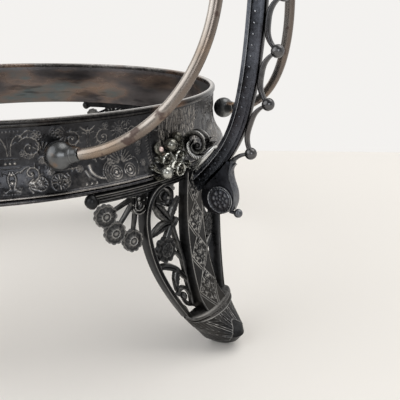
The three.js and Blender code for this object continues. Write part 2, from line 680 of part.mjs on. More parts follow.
// Shares at which sections are placed: close together in the tight lower bends
function handleShares(first, last) {
  const shares = [first];
  let travelled = first * HANDLE_LENGTH;
  const end = last * HANDLE_LENGTH;
  while (travelled < end) {
    const fromRoot = Math.min(travelled, HANDLE_LENGTH - travelled);
    travelled += fromRoot < BEND_LENGTH ? BEND_STEP : ARCH_STEP;
    if (travelled < end - BEND_STEP / 2) shares.push(travelled / HANDLE_LENGTH);
  }
  shares.push(last);
  return shares;
}

// Section of the bar, first number outwards, second across: raised borders round a channel
function barSection(grow = 0) {
  const outer = BAR_WIDTH / 2 + grow;
  const face = BAR_THICKNESS / 2 + grow;
  if (grow > 0) return boxSection(2 * outer, 2 * face);
  const floor = face - BAR_CHANNEL_DEPTH;
  const channelOut = outer - BAR_OUTER_BORDER;
  const channelIn = -outer + BAR_INNER_BORDER;
  return [
    [-outer, -face], [channelIn, -face], [channelIn, -floor], [channelOut, -floor], [channelOut, -face],
    [outer, -face], [outer, face], [channelOut, face], [channelOut, floor], [channelIn, floor],
    [channelIn, face], [-outer, face],
  ].map(([a, b]) => new THREE.Vector2(a, b));
}

function alongHandle(section, shares) {
  const rings = shares.map((share) => section.map((point) => handlePoint(share, point.x, point.y)));
  return lofted(rings, section);
}

function barGeometry() {
  const clear = footClearance();
  const otherClear = toSolid(toGeometry(clear).rotateZ(Math.PI));
  const bar = toSolid(alongHandle(barSection(), handleShares(0, 1)));
  return toGeometry(bar.subtract(clear).subtract(otherClear));
}

function barClearance(first, last) {
  return toSolid(alongHandle(barSection(SEAT_GAP), handleShares(first, last)));
}

// Round rods: one on each side of the bar, from knob to knob

const ROD_BESIDE_BAR = BAR_THICKNESS / 2 + SEAT_GAP + ROD_RADIUS;
const claspShare = shareAtHeight(CLASP_HEIGHT);
const bendShare = shareAtHeight(ROD_BEND_HEIGHT);

// Knob on the +X, +Y side, its neck's direction and its distance from the collar's axis
const knobHeight = LEG_HEIGHT + KNOB_RISE;
const knobReach = sheetRadius(knobHeight) + SEAT_GAP + KNOB_RADIUS;
const knobMiddle = new THREE.Vector3(
  knobReach * Math.cos(radians(KNOB_ANGLE)),
  knobReach * Math.sin(radians(KNOB_ANGLE)),
  knobHeight,
);
const neckDirection = new THREE.Vector3(
  Math.cos(radians(ROD_CLIMB)) * Math.cos(radians(ROD_HEADING)),
  -Math.cos(radians(ROD_CLIMB)) * Math.sin(radians(ROD_HEADING)),
  Math.sin(radians(ROD_CLIMB)),
);

// Distance of a rod from the handle's plane, from the bend up to the clasp
function rodSpread(height) {
  const t = THREE.MathUtils.clamp((height - ROD_BEND_HEIGHT) / (CLASP_HEIGHT - ROD_BEND_HEIGHT), 0, 1);
  const lean = ROD_LEAN * (CLASP_HEIGHT - ROD_BEND_HEIGHT);
  const start = ROD_BEND_SPREAD * (1 - 3 * t ** 2 + 2 * t ** 3);
  return start + lean * (t - 2 * t ** 2 + t ** 3) + ROD_BESIDE_BAR * (3 * t ** 2 - 2 * t ** 3);
}

function rodPoints() {
  const start = knobMiddle.clone().addScaledVector(neckDirection, NECK_LENGTH + SEAT_GAP);
  const bend = handlePoint(bendShare, 0, ROD_BEND_SPREAD);
  const above = handleLine.getTangentAt(bendShare);
  const rise = new THREE.Vector3(-above.x / Math.abs(above.y), ROD_LEAN, 1).normalize();
  const lower = new THREE.CubicBezierCurve3(
    start,
    start.clone().addScaledVector(neckDirection, ROD_FIRST_REACH),
    bend.clone().addScaledVector(rise, -ROD_BEND_REACH),
    bend,
  );
  const right = lower.getPoints(ROD_STEPS + 1);
  const step = (bendShare - claspShare) / ROD_STEPS;
  for (let k = 1; k <= ROD_STEPS; k += 1) {
    const share = bendShare - k * step;
    right.push(handlePoint(share, 0, rodSpread(handleLine.getPointAt(share).y)));
  }
  const overTop = handleShares(1 - claspShare, claspShare).reverse().slice(1, -1);
  const arch = overTop.map((share) => handlePoint(share, 0, ROD_BESIDE_BAR));
  const left = right.map((point) => new THREE.Vector3(-point.x, point.y, point.z)).reverse();
  return [...right, ...arch, ...left];
}

function rodGeometry(grow = 0, sides = 6) {
  const line = rodPoints();
  const section = roundSection(ROD_RADIUS + grow, sides);
  const across = new THREE.Vector3(0, 1, 0);
  const rings = line.map((point, i) => {
    const before = line[Math.max(i - 1, 0)];
    const after = line[Math.min(i + 1, line.length - 1)];
    const tangent = after.clone().sub(before).normalize();
    const outward = new THREE.Vector3().crossVectors(across, tangent).normalize();
    const sideways = new THREE.Vector3().crossVectors(tangent, outward);
    return section.map((corner) => {
      return point.clone().addScaledVector(outward, corner.x).addScaledVector(sideways, corner.y);
    });
  });
  return lofted(rings, section);
}

// Ball and neck about +Z, the ball's middle at the origin
function knobGeometry() {
  const profile = [[0, -KNOB_RADIUS]];
  for (let k = 1; k <= 4; k += 1) {
    const angle = radians(-90 + k * 30);
    profile.push([KNOB_RADIUS * Math.cos(angle), KNOB_RADIUS * Math.sin(angle)]);
  }
  profile.push([0.62 * KNOB_RADIUS, 0.76 * KNOB_RADIUS]);
  profile.push([0.55 * KNOB_RADIUS, 0.95 * KNOB_RADIUS]);
  profile.push([0.45 * KNOB_RADIUS, NECK_LENGTH], [0, NECK_LENGTH]);
  return weld(turned(profile, 10));
}

// Edging: a strip that touches the bar's outer edge between balls and swings out to each ball.
// Phase 0 is at a ball and phase 1 at the next one up; below the lowest ball it is negative.

const swagStart = shareAtHeight(LEG_HEIGHT + SWAG_START_RISE);
const SWAG_SHARE = (2 * swagStart - 1) / SWAG_COUNT;
const EDGING_TOUCH = (BAR_WIDTH + EDGING_WIDTH) / 2 + SEAT_GAP;
const TAIL_PHASE = -0.45;

function edgingOffset(phase) {
  return EDGING_TOUCH + (BALL_OUT - EDGING_TOUCH) * Math.abs(2 * Math.abs(phase) - 1) ** 3;
}

// The half of the edging that starts at the right-hand root or at the left-hand one
function edgingGeometry(isRight) {
  const section = boxSection(EDGING_WIDTH, EDGING_THICKNESS);
  const swags = SWAG_COUNT / 2;
  const rings = [];
  const solids = [];
  for (let swag = 0; swag <= swags; swag += 1) {
    const isTop = swag === swags;
    const tail = swag === 0 ? [TAIL_PHASE, 0.45 * TAIL_PHASE] : [];
    for (const phase of isTop ? [0] : [...tail, 0, 0.25, 0.75]) {
      const share = swagStart - (swag + phase) * SWAG_SHARE;
      rings.push(section.map((corner) => handlePoint(share, edgingOffset(phase) + corner.x, corner.y)));
    }
    const middle = handlePoint(swagStart - swag * SWAG_SHARE, BALL_OUT, 0);
    if (!isTop || isRight) solids.push(ball(BALL_RADIUS, middle.x, 0, middle.z, 6, 3));
  }
  const whole = joinAll([toSolid(lofted(rings, section)), ...solids]);
  if (isRight) return toGeometry(whole);
  // The left half is the mirror image of the right one and stops short of the ball at the top
  const top = handlePoint(0.5, BALL_OUT, 0);
  const left = toSolid(weld(toGeometry(whole).applyMatrix4(new THREE.Matrix4().makeScale(-1, 1, 1))));
  const topSpace = ball(BALL_RADIUS + SEAT_GAP, top.x, 0, top.z, 12, 8);
  return toGeometry(left.subtract(topSpace).subtract(rightHalf()));
}

// The space round the top of the arch that belongs to the right-hand half
function rightHalf() {
  const size = 4 * BALL_OUT;
  const box = new THREE.BoxGeometry(size, size, size);
  return toSolid(box.translate(size / 2 - SEAT_GAP, 0, HANDLE_HEIGHT + BALL_OUT));
}

// Terminal plate with a rosette on both faces and a small ball on a stem, on the +X side

const plateX = FOOT_RADIUS + PLATE_OUT;
const plateZ = LEG_HEIGHT - PLATE_DROP;

function plateGeometry() {
  // Points of the outline from the rosette's middle, in rosette radii
  const at = (across, up) => [plateX + across * ROSETTE_RADIUS, plateZ + up * ROSETTE_RADIUS];
  const besideBar = (share, outward) => {
    const point = handlePoint(share, outward * ROSETTE_RADIUS);
    return [point.x, point.z];
  };
  // The neck ends just below the edging's tail
  const neckTop = swagStart - TAIL_PHASE * SWAG_SHARE + SEAT_GAP / HANDLE_LENGTH;
  const shape = new THREE.Shape();
  shape.moveTo(...besideBar(neckTop, 1.1));
  shape.quadraticCurveTo(...at(0.75, 2.4), ...at(1.03, 1.4));
  shape.quadraticCurveTo(...at(1.55, 0.15), ...at(1, -0.8));
  shape.quadraticCurveTo(...at(-0.3, -1.75), ...at(-1.3, -0.9));
  shape.quadraticCurveTo(...at(-1.83, 0), ...at(-1.35, 0.9));
  shape.lineTo(...besideBar(shareAtHeight(plateZ + 1.9 * ROSETTE_RADIUS), 0));
  shape.lineTo(...besideBar(neckTop, 0));
  const solids = [toSolid(extrudedAcross(shape, PLATE_THICKNESS))];
  const rosette = extrudedAcross(petalOutline(ROSETTE_RADIUS, 8, 0.1), PLATE_THICKNESS + 2 * ROSETTE_OUT);
  solids.push(toSolid(rosette.translate(plateX, 0, plateZ)));
  for (const side of [-1, 1]) {
    solids.push(ball(ROSETTE_RADIUS * 0.4, plateX, side * (PLATE_THICKNESS / 2 + ROSETTE_OUT), plateZ));
  }
  const [stemX, stemZ] = at(0.9, -0.9);
  const stem = new THREE.BoxGeometry(1.5 * ROSETTE_RADIUS, 0.75 * PENDANT_RADIUS, 0.7 * PENDANT_RADIUS);
  solids.push(toSolid(stem.translate(stemX, 0, stemZ)));
  solids.push(ball(PENDANT_RADIUS, plateX + 1.6 * ROSETTE_RADIUS, 0, stemZ));
  return toGeometry(joinAll(solids).subtract(barClearance(0.85, 1)));
}

// Scroll between the collar and the bar, on the +X side

function scrollGeometry() {
  const middleZ = LEG_HEIGHT + SCROLL_RISE;
  const middleX = sheetRadius(middleZ) + SCROLL_OUT + SCROLL_STRIP / 2 + SCROLL_RADIUS;
  const section = boxSection(SCROLL_STRIP, SCROLL_WIDTH);
  const rings = [];
  for (let i = 0; i <= SCROLL_STEPS; i += 1) {
    const share = i / SCROLL_STEPS;
    const angle = radians(25 - share * SCROLL_TURN);
    const radius = share < 0.25
      ? THREE.MathUtils.lerp(SCROLL_RADIUS * 1.9, SCROLL_RADIUS * 1.05, share / 0.25)
      : THREE.MathUtils.lerp(SCROLL_RADIUS * 1.05, SCROLL_EYE * 0.6, (share - 0.25) / 0.75);
    rings.push(section.map((corner) => new THREE.Vector3(
      middleX + (radius + corner.x) * Math.cos(angle),
      corner.y,
      middleZ + (radius + corner.x) * Math.sin(angle),
    )));
  }
  const eye = ball(SCROLL_EYE, middleX, 0, middleZ);
  const whole = toSolid(lofted(rings, section)).add(eye);
  return toGeometry(whole.subtract(barClearance(0.85, 1)).subtract(collarClearance()));
}

// Berries, a bloom and a leaf beside the root of the handle, drawn on the +X, +Y side of the collar

function clusterGeometry() {
  const leafShape = leafOutline(
    [8 * BERRY_RADIUS, LEG_HEIGHT + 0.5 * BERRY_RADIUS],
    [1.8 * BERRY_RADIUS, FLARE_TOP + 1.6 * BERRY_RADIUS],
    2.8 * BERRY_RADIUS,
  );
  const leaf = toSolid(curvedSlab({
    halfAngle: radians(12), low: MOULDING_TOP + SEAT_GAP, high: FLARE_TOP + 2 * BERRY_RADIUS,
    radiusAt: collarEnvelope, inner: 0, outer: CLUSTER_LEAF, across: 2, up: 3,
  })).intersect(toSolid(extrudedAlongX(leafShape, COLLAR_RADIUS / 2, 2 * COLLAR_RADIUS)));
  // Heights above the collar's lower edge and sizes in berry radii
  const berries = [
    { angle: 5.4, rise: 4.85, size: 1 },
    { angle: 2.9, rise: 5.4, size: 0.85 },
    { angle: 9.2, rise: 1.1, size: 1 },
  ].map(({ angle, rise, size }) => {
    const height = LEG_HEIGHT + rise * BERRY_RADIUS;
    const radius = size * BERRY_RADIUS;
    const reach = collarEnvelope(height) + 0.7 * radius;
    return ball(radius, reach * Math.cos(radians(angle)), reach * Math.sin(radians(angle)), height);
  });
  const bloomReach = COLLAR_RADIUS + FLARE_OUT + MOULDING_OUT + SEAT_GAP;
  const bloomShape = extrudedAlongX(petalOutline(BLOOM_RADIUS, 6), -BLOOM_RADIUS, 0.6 * BLOOM_RADIUS);
  const bloomHeight = LEG_HEIGHT + 2 * BERRY_RADIUS;
  bloomShape.translate(0, radians(6) * bloomReach, bloomHeight);
  const bloom = toSolid(wrapped(bloomShape, bloomReach));
  const whole = joinAll([leaf, bloom, ...berries]);
  return toGeometry(whole.subtract(collarClearance()).subtract(toSolid(mirrored(scrollSpace()))));
}

// The strip of space in the handle's plane that the scroll needs
function scrollSpace() {
  const size = 9 * SCROLL_RADIUS;
  const box = new THREE.BoxGeometry(size, SCROLL_WIDTH + 2 * SEAT_GAP, size);
  return box.translate(COLLAR_RADIUS + 0.4 * size, 0, LEG_HEIGHT + SCROLL_RISE);
}

// Clasp that binds both rods to the bar under one of the edging's balls, on the +X side

function claspGeometry() {
  const swag = Math.round((swagStart - claspShare) / SWAG_SHARE) + 1;
  const share = swagStart - swag * SWAG_SHARE;
  const halfLength = CLASP_LENGTH / 2 / HANDLE_LENGTH;
  const across = ROD_BESIDE_BAR + ROD_RADIUS + SEAT_GAP + CLASP_WALL;
  const outward = BAR_WIDTH / 2 + SEAT_GAP + 0.75 * CLASP_WALL;
  const corner = 0.9 * CLASP_WALL;
  const section = [
    [-outward + corner, -across], [outward - corner, -across], [outward, -across + corner],
    [outward, across - corner], [outward - corner, across], [-outward + corner, across],
    [-outward, across - corner], [-outward, -across + corner],
  ].map(([a, b]) => new THREE.Vector2(a, b));
  const body = toSolid(alongHandle(section, [share - halfLength, share + halfLength]));
  const margin = 2 * ARCH_STEP / HANDLE_LENGTH;
  const rod = rodGeometry(SEAT_GAP);
  return toGeometry(body
    .subtract(barClearance(share - margin, share + margin))
    .subtract(toSolid(rod))
    .subtract(toSolid(mirrored(rod))));
}

// Assembly

const basket = new THREE.Group();
basket.name = "brides_basket";

function place(name, geometry, material, turn = 0) {
  const mesh = new THREE.Mesh(geometry, material);
  mesh.name = name;
  mesh.rotation.z = turn;
  basket.add(mesh);
  return mesh;
}

place("collar", weld(collarGeometry()), darkMaterial);
place("rim_wire", weld(rimWireGeometry()), wornMaterial);
place("lower_moulding", weld(mouldingGeometry()), darkMaterial);

const foot = footGeometry();
["right", "back", "left", "front"].forEach((name, k) => {
  place(`foot_${name}`, foot, castMaterial, k * QUARTER);
});

place("handle_bar", barGeometry(), darkMaterial);
const rod = rodGeometry();
place("rod_back", rod, wornMaterial);
place("rod_front", mirrored(rod), wornMaterial);
place("edging_right", edgingGeometry(true), darkMaterial);
place("edging_left", edgingGeometry(false), darkMaterial);

const knob = knobGeometry();
const plate = plateGeometry();
const scroll = scrollGeometry();
const cluster = mirrored(clusterGeometry());
const clasp = claspGeometry();

for (const [end, turn] of [["right", 0], ["left", Math.PI]]) {
  place(`terminal_plate_${end}`, plate, castMaterial, turn);
  place(`scroll_${end}`, scroll, castMaterial, turn);
  place(`clasp_${end}`, clasp, castMaterial, turn);
  place(`blossoms_${end}`, cluster, castMaterial, turn);
  for (const side of [1, -1]) {
    const direction = end === "right" ? 1 : -1;
    const rodName = side > 0 ? "back" : "front";
    const mesh = place(`knob_${end}_${rodName}`, knob, wornMaterial);
    mesh.position.set(direction * knobMiddle.x, side * knobMiddle.y, knobMiddle.z);
    const neck = new THREE.Vector3(direction * neckDirection.x, side * neckDirection.y, neckDirection.z);
    mesh.quaternion.setFromUnitVectors(new THREE.Vector3(0, 0, 1), neck);
  }
}

export default basket;
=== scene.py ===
"""Bride's basket frame: looks for the silver-plated collar, its cast feet and its arched handle.

Lengths in the making of each piece are millimetres in the model's frame: +Z up, the table at zero,
the handle's plane along X. Each vertex carries a "wear" value, 0 in a recess and 1 on a rubbed edge;
on the rods, the collar's wall, the toes and some blossom leaves it also carries painted light and shade.
"""

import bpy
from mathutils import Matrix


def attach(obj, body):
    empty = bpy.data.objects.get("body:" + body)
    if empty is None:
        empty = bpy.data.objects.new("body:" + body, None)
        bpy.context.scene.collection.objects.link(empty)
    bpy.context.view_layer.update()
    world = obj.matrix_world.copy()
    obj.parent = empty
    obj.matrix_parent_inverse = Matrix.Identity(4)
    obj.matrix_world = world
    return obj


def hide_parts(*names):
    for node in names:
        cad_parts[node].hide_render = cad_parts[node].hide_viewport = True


bl_info = {
    "name": "Bride's Basket Frame",
    "version": (1, 0, 0),
    "blender": (4, 5, 0),
    "location": "View3D > Sidebar > Basket",
    "description": "Makes the metalwork, the finishes and the studio of a bride's basket frame",
    "category": "Add Mesh",
}

import math

import bmesh
import bpy
import numpy as np
from bpy.props import FloatProperty, FloatVectorProperty, IntProperty, PointerProperty
from mathutils import Matrix, Vector

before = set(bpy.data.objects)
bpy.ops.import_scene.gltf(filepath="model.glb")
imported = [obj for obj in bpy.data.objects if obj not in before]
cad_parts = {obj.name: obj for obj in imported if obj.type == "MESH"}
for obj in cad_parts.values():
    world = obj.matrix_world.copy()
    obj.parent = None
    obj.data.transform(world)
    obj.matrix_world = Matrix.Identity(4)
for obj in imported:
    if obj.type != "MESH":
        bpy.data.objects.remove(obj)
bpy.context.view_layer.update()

MM = 0.001
ROOT_BODY = "root"

# Sizes that several pieces share, as in the model's own solids
COLLAR_RADIUS = 65.5
COLLAR_SHEET = 1.1
LEG_HEIGHT = 51.5
RIM_TOP = 69.3
WIRE_SEAT = RIM_TOP - 1.6
FLARE_TOP = 61.0
FLARE_OUT = 2.8
MOULDING_TOP = 53.2
FOOT_RADIUS = 70.8
FOOT_FLARE = 6.0
FOOT_FLARE_START = 42.9
ANKLE_HEIGHT = 10.3
BAR_WIDTH = 4.0
BAR_THICKNESS = 2.1
SEAT_GAP = 0.3
SHOULDER_HEIGHT = 125.0
HANDLE_HEIGHT = 262.0
BAR_OUT = 16.7
CLASP_HEIGHT = 165.0
ROD_BEND_HEIGHT = 93.1
ROD_BEND_SPREAD = 18.6
SWAG_COUNT = 42
SWAG_START_HEIGHT = 60.9
BALL_OUT = 6.0
EDGING_WIDTH = 1.2
KNOB_ANGLE = math.radians(31.4)
ROD_START = 5.3

# The photograph's viewpoint from the middle of the collar's top, in metres, and its level directions
EYE = 0.066 * Vector((2.081, -1.591, 0.316))
SIGHT = Vector((-0.526, 0.8505, 0)).normalized()
ACROSS = Vector((SIGHT.y, -SIGHT.x, 0))


# Sizes and colours that a user may change


def length(name, description, default, low, high):
    return FloatProperty(
        name=name, description=description, unit="LENGTH", default=default, min=low, max=high,
    )


def colour(name, description, default):
    return FloatVectorProperty(
        name=name, description=description, subtype="COLOR", size=3, default=default, min=0, max=1,
    )


class BasketSizes(bpy.types.PropertyGroup):
    """Sizes of the small work."""

    rod_radius: length("Rod radius", "Radius of both round rods", 0.0013, 0.0008, 0.002)
    knob_radius: length("Knob radius", "Radius of the four rod knobs", 0.0033, 0.002, 0.004)
    ball_radius: length("Edging ball radius", "Radius of the balls outside the handle", 0.00155, 0.001, 0.002)
    bead_radius: length("Bead radius", "Radius of the beads in the handle's channel", 0.0003, 0.0002, 0.0008)
    bead_pitch: length("Bead pitch", "Distance from bead to bead along the handle", 0.00243, 0.0015, 0.006)
    relief: length("Relief", "Height of the rolled ornament on the collar", 0.00022, 0.0001, 0.0006)
    petals: IntProperty(
        name="Daisy petals", description="Petals of each daisy in the fans", default=11, min=5, max=14,
    )


class BasketColours(bpy.types.PropertyGroup):
    """Colours of the finishes."""

    recess: colour("Recess", "Tarnish in the deepest lines", (0.006, 0.006, 0.007))
    warm: colour("Warm tarnish", "Brown and olive patches", (0.11, 0.085, 0.055))
    rod_light: colour("Rod silver", "Light silver of the rods", (0.47, 0.43, 0.39))
    table: colour("Table", "Pale table top", (0.87, 0.845, 0.805))


def sizes():
    return bpy.context.scene.basket_sizes


def colours():
    return bpy.context.scene.basket_colours


# Shader maths


class Value:
    """A node's output whose maths reads as an expression."""

    def __init__(self, nodes, socket):
        self.nodes, self.socket = nodes, socket

    def maths(self, operation, first, second):
        return self.nodes.node("ShaderNodeMath", {"operation": operation}, {0: first, 1: second})

    def __add__(self, other):
        return self.maths("ADD", self, other)

    def __sub__(self, other):
        return self.maths("SUBTRACT", self, other)

    def __rsub__(self, other):
        return self.maths("SUBTRACT", other, self)

    def __mul__(self, other):
        return self.maths("MULTIPLY", self, other)

    __radd__, __rmul__ = __add__, __mul__

    def band(self, low, high, at_low=0, at_high=1):
        """Changes smoothly between two values as this one goes from low to high."""
        inputs = {"Value": self, "From Min": low, "From Max": high, "To Min": at_low, "To Max": at_high}
        return self.nodes.node("ShaderNodeMapRange", {"interpolation_type": "SMOOTHSTEP"}, inputs)


class Nodes:
    """A node tree that one method fills."""

    def __init__(self, tree):
        self.tree = tree

    def node(self, kind, settings=None, inputs=None, output=0):
        """Any node: its settings first, then the values or links of its sockets."""
        made = self.tree.nodes.new(kind)
        for key, value in (settings or {}).items():
            if key == "stops":
                for _ in value[2:]:
                    made.color_ramp.elements.new(0.5)
                for element, (position, shade) in zip(made.color_ramp.elements, value):
                    element.position, element.color = position, (*shade, 1)
            else:
                setattr(made, key, value)
        for key, value in (inputs or {}).items():
            if isinstance(value, Value):
                self.tree.links.new(value.socket, made.inputs[key])
            else:
                made.inputs[key].default_value = value
        return Value(self, made.outputs[output])

    def feed(self, node, name, value):
        self.tree.links.new(value.socket, self.tree.nodes[node].inputs[name])


class Finish(Nodes):
    """A procedural finish around one Principled shader."""

    def __init__(self, name, **constants):
        self.material = bpy.data.materials.new(name)
        self.material.use_nodes = True
        super().__init__(self.material.node_tree)
        for key, value in constants.items():
            self.tree.nodes["Principled BSDF"].inputs[key.title()].default_value = value
        self.place = self.node("ShaderNodeTexCoord", output=3)

    def wear(self):
        return self.node("ShaderNodeAttribute", {"attribute_name": "wear"}, output=2)

    def part(self, axis):
        """One coordinate of the place, in metres."""
        return self.node("ShaderNodeSeparateXYZ", inputs={0: self.place}, output=axis)

    def noise(self, scale, detail=4, stretch=None):
        place = self.place
        if stretch:
            place = self.node("ShaderNodeVectorMath", {"operation": "MULTIPLY"}, {0: place, 1: stretch})
        return self.node("ShaderNodeTexNoise", inputs={"Vector": place, "Scale": scale, "Detail": detail})

    def ramp(self, value, stops):
        return self.node("ShaderNodeValToRGB", {"stops": stops}, {0: value})

    def mix(self, amount, first, second):
        first = first if isinstance(first, Value) else (*first, 1)
        return self.node("ShaderNodeMix", {"data_type": "RGBA"}, {0: amount, 6: first, 7: (*second, 1)}, 2)

    def dress(self, tint, roughness, height, strength, depth):
        """Feeds the shader, with a bump in millimetres, and gives the material back."""
        inputs = {"Height": height, "Strength": strength, "Distance": depth * MM}
        bump = self.node("ShaderNodeBump", inputs=inputs)
        for name, value in (("Base Color", tint), ("Roughness", roughness), ("Normal", bump)):
            self.feed("Principled BSDF", name, value)
        return self.material


def blend(first, second, share):
    return tuple(a + (b - a) * share for a, b in zip(first, second))


def tarnished(name, body, edge, patch, patch_share=0.4, rough=0.3):
    """Oxidised silver: dark in recesses, rubbed bright on edges, with mottled patches."""
    finish = Finish(name, metallic=0.92)
    wear, mottle = finish.wear(), finish.noise(120, 5)
    fine, cloud = finish.noise(1100, 3), finish.noise(42, 2)
    tone = wear + (mottle - 0.5) * 0.5 + (fine - 0.5) * 0.3
    stops = [(0.08, colours().recess), (0.42, body), (0.70, blend(body, edge, 0.35)), (0.98, edge)]
    tint = finish.mix(cloud.band(0.52, 0.68) * patch_share, finish.ramp(tone, stops), patch)
    roughness = rough + (fine - 0.5) * 0.3 + (mottle - 0.5) * 0.25 - wear * 0.08
    return finish.dress(tint, roughness, fine * 0.6 + mottle * 0.4, 0.35, 0.12)


def tarnished_inside():
    """The collar's smooth inside: dark brown-grey gloss with faint pink, teal and tan heat colours."""
    finish = Finish("collar_inside", metallic=0.95)
    cloud = finish.noise(34, 4, (1, 1, 2.6))
    other = finish.noise(21, 3, (1, 1, 3.5))
    streak = finish.noise(60, 3, (1, 1, 6))
    tint = finish.ramp(cloud, [
        (0.30, (0.045, 0.040, 0.042)), (0.44, (0.10, 0.092, 0.094)), (0.52, (0.19, 0.145, 0.125)),
        (0.60, (0.125, 0.150, 0.155)), (0.68, (0.26, 0.215, 0.215)), (0.80, (0.18, 0.18, 0.20)),
    ])
    tint = finish.mix(other.band(0.56, 0.72) * 0.45, tint, (0.28, 0.19, 0.135))
    tint = finish.mix(streak.band(0.56, 0.66) * 0.5, tint, (0.020, 0.019, 0.022))
    tint = finish.mix(finish.part(2).band(0.0655, 0.0675) * 0.7, tint, (0.21, 0.21, 0.225))
    return finish.dress(tint, 0.16 + cloud * 0.22, cloud * 0.5 + streak * 0.5, 0.12, 0.25)


def rod_silver():
    """Smooth drawn rod: light silver in front, slate behind, with brown patches, dark spots and painted dark
    brown shade along its outer side.
    """
    finish = Finish("rod_silver", metallic=0.9)
    brown, spots, fine = finish.noise(90, 3), finish.noise(300, 4), finish.noise(1500, 2)
    tint = finish.ramp(finish.noise(60, 4), [
        (0.32, (0.22, 0.18, 0.15)), (0.46, (0.36, 0.32, 0.28)), (0.58, colours().rod_light),
        (0.75, (0.56, 0.53, 0.52)),
    ])
    tint = finish.mix(finish.part(1).band(0.0, 0.004) * 0.75, tint, (0.12, 0.125, 0.13))
    # Painted shade: where the wear is low, on the rod's outer side, the silver turns dark brown; brown noise
    # breaks its edge.
    under = 1 - (finish.wear() + (brown - 0.5) * 0.5).band(0.05, 0.62)
    tint = finish.mix(under * 0.8, tint, (0.150, 0.118, 0.100))
    tint = finish.mix(brown.band(0.46, 0.70) * 0.6, tint, (0.30, 0.20, 0.125))
    tint = finish.mix(spots.band(0.59, 0.66) * 0.8, tint, (0.085, 0.055, 0.050))
    roughness = 0.27 + spots.band(0.52, 0.7) * 0.25 + (fine - 0.5) * 0.08
    return finish.dress(tint, roughness, spots * 0.6 + fine * 0.4, 0.18, 0.1)


def knob_silver():
    """Glossy blue-grey silver with brown patches and dark cloudy spots."""
    finish = Finish("knob_silver", metallic=0.9)
    cloud, patch, fine = finish.noise(130, 3), finish.noise(210, 2), finish.noise(1300, 3)
    tint = finish.ramp(cloud + (finish.wear() - 0.5) * 0.6, [
        (0.25, (0.050, 0.050, 0.052)), (0.5, (0.14, 0.145, 0.148)), (0.72, (0.25, 0.255, 0.25)),
    ])
    tint = finish.mix(patch.band(0.52, 0.66) * 0.75, tint, (0.24, 0.135, 0.065))
    return finish.dress(tint, 0.25 + (cloud - 0.5) * 0.3 + fine * 0.1, cloud * 0.5 + fine * 0.5, 0.2, 0.08)


# Making forms


def ridge(offset, width):
    """1 in the middle, falling off smoothly over the width."""
    return np.exp(-(offset / width) ** 2)


def unit(vectors):
    return vectors / np.linalg.norm(vectors, axis=-1, keepdims=True)


def polar(radius, angle, height):
    """Points at their places about the Z axis."""
    return np.stack(np.broadcast_arrays(radius * np.cos(angle), radius * np.sin(angle), height), axis=-1)


def full_turn(count):
    return np.linspace(0, 2 * math.pi, count, endpoint=False)


def half_turned(points):
    return points * [-1, -1, 1]


def other_side(points):
    return points * [1, -1, 1]


def turned(points, angle):
    """The points, turned about the Z axis."""
    cosine, sine = math.cos(angle), math.sin(angle)
    return points @ np.array([[cosine, sine, 0], [-sine, cosine, 0], [0, 0, 1]])


def lathe(profile, facets):
    """Rows of a body of revolution about Z from [radius, height] pairs."""
    radius, height = np.asarray(profile, float).T
    return polar(radius, full_turn(facets)[:, None], height)


def sphere(radius, centre, around=20, rows=12):
    """Rows of a ball about the Z direction."""
    tilt = np.linspace(-math.pi / 2 + 0.02, math.pi / 2 - 0.02, rows)[:, None]
    return np.asarray(centre) + radius * polar(np.cos(tilt), full_turn(around), np.sin(tilt))


def rounded_box(width, thickness, radius, steps=3):
    """Outline of a rounded rectangle."""
    points = []
    for x, y, start in ((1, 1, 0), (-1, 1, 90), (-1, -1, 180), (1, -1, 270)):
        for k in range(steps + 1):
            angle = math.radians(start + 90 * k / steps)
            points.append((x * (width / 2 - radius) + radius * math.cos(angle),
                           y * (thickness / 2 - radius) + radius * math.sin(angle)))
    return np.array(points)


def spline(points, count):
    """Evenly numbered points of a smooth curve through the given ones."""
    points = np.asarray(points, float)
    padded = np.vstack([2 * points[0] - points[1], points, 2 * points[-1] - points[-2]])
    place = np.linspace(0, len(points) - 1 - 1e-9, count)
    u = (place % 1)[:, None]
    a, b, c, d = (padded[place.astype(int) + k] for k in range(4))
    bend = (2 * a - 5 * b + 4 * c - d) * u ** 2 + (3 * b - a - 3 * c + d) * u ** 3
    return 0.5 * (2 * b + (c - a) * u + bend)


def bezier(points, count, closed=True):
    """Points of a curve from the first of the given ones to the last, pulled by those between."""
    t = np.linspace(0, 1, count, endpoint=closed)[:, None]
    points = [np.asarray(point, float) for point in points]
    while len(points) > 1:
        points = [(1 - t) * a + t * b for a, b in zip(points, points[1:])]
    return points[0]


def tangents(line):
    return unit(np.gradient(line, axis=0))


def sweep(line, outward, section, sideways=(0.0, 1.0, 0.0)):
    """Rows of a section carried along a line: its first number goes outward, its second sideways."""
    outward, sideways = (np.broadcast_to(way, line.shape)[:, None] for way in (outward, sideways))
    section = np.asarray(section, float)
    return line[:, None] + section[..., :1] * outward + section[..., 1:] * sideways


def flat_sweep(flat, base, section):
    """The same along a line drawn in a flat front: the section's first number is depth."""
    line = np.column_stack([np.full(len(flat), base), flat])
    depth = [1.0, 0.0, 0.0]
    return sweep(line, depth, section, np.cross(tangents(line), depth))


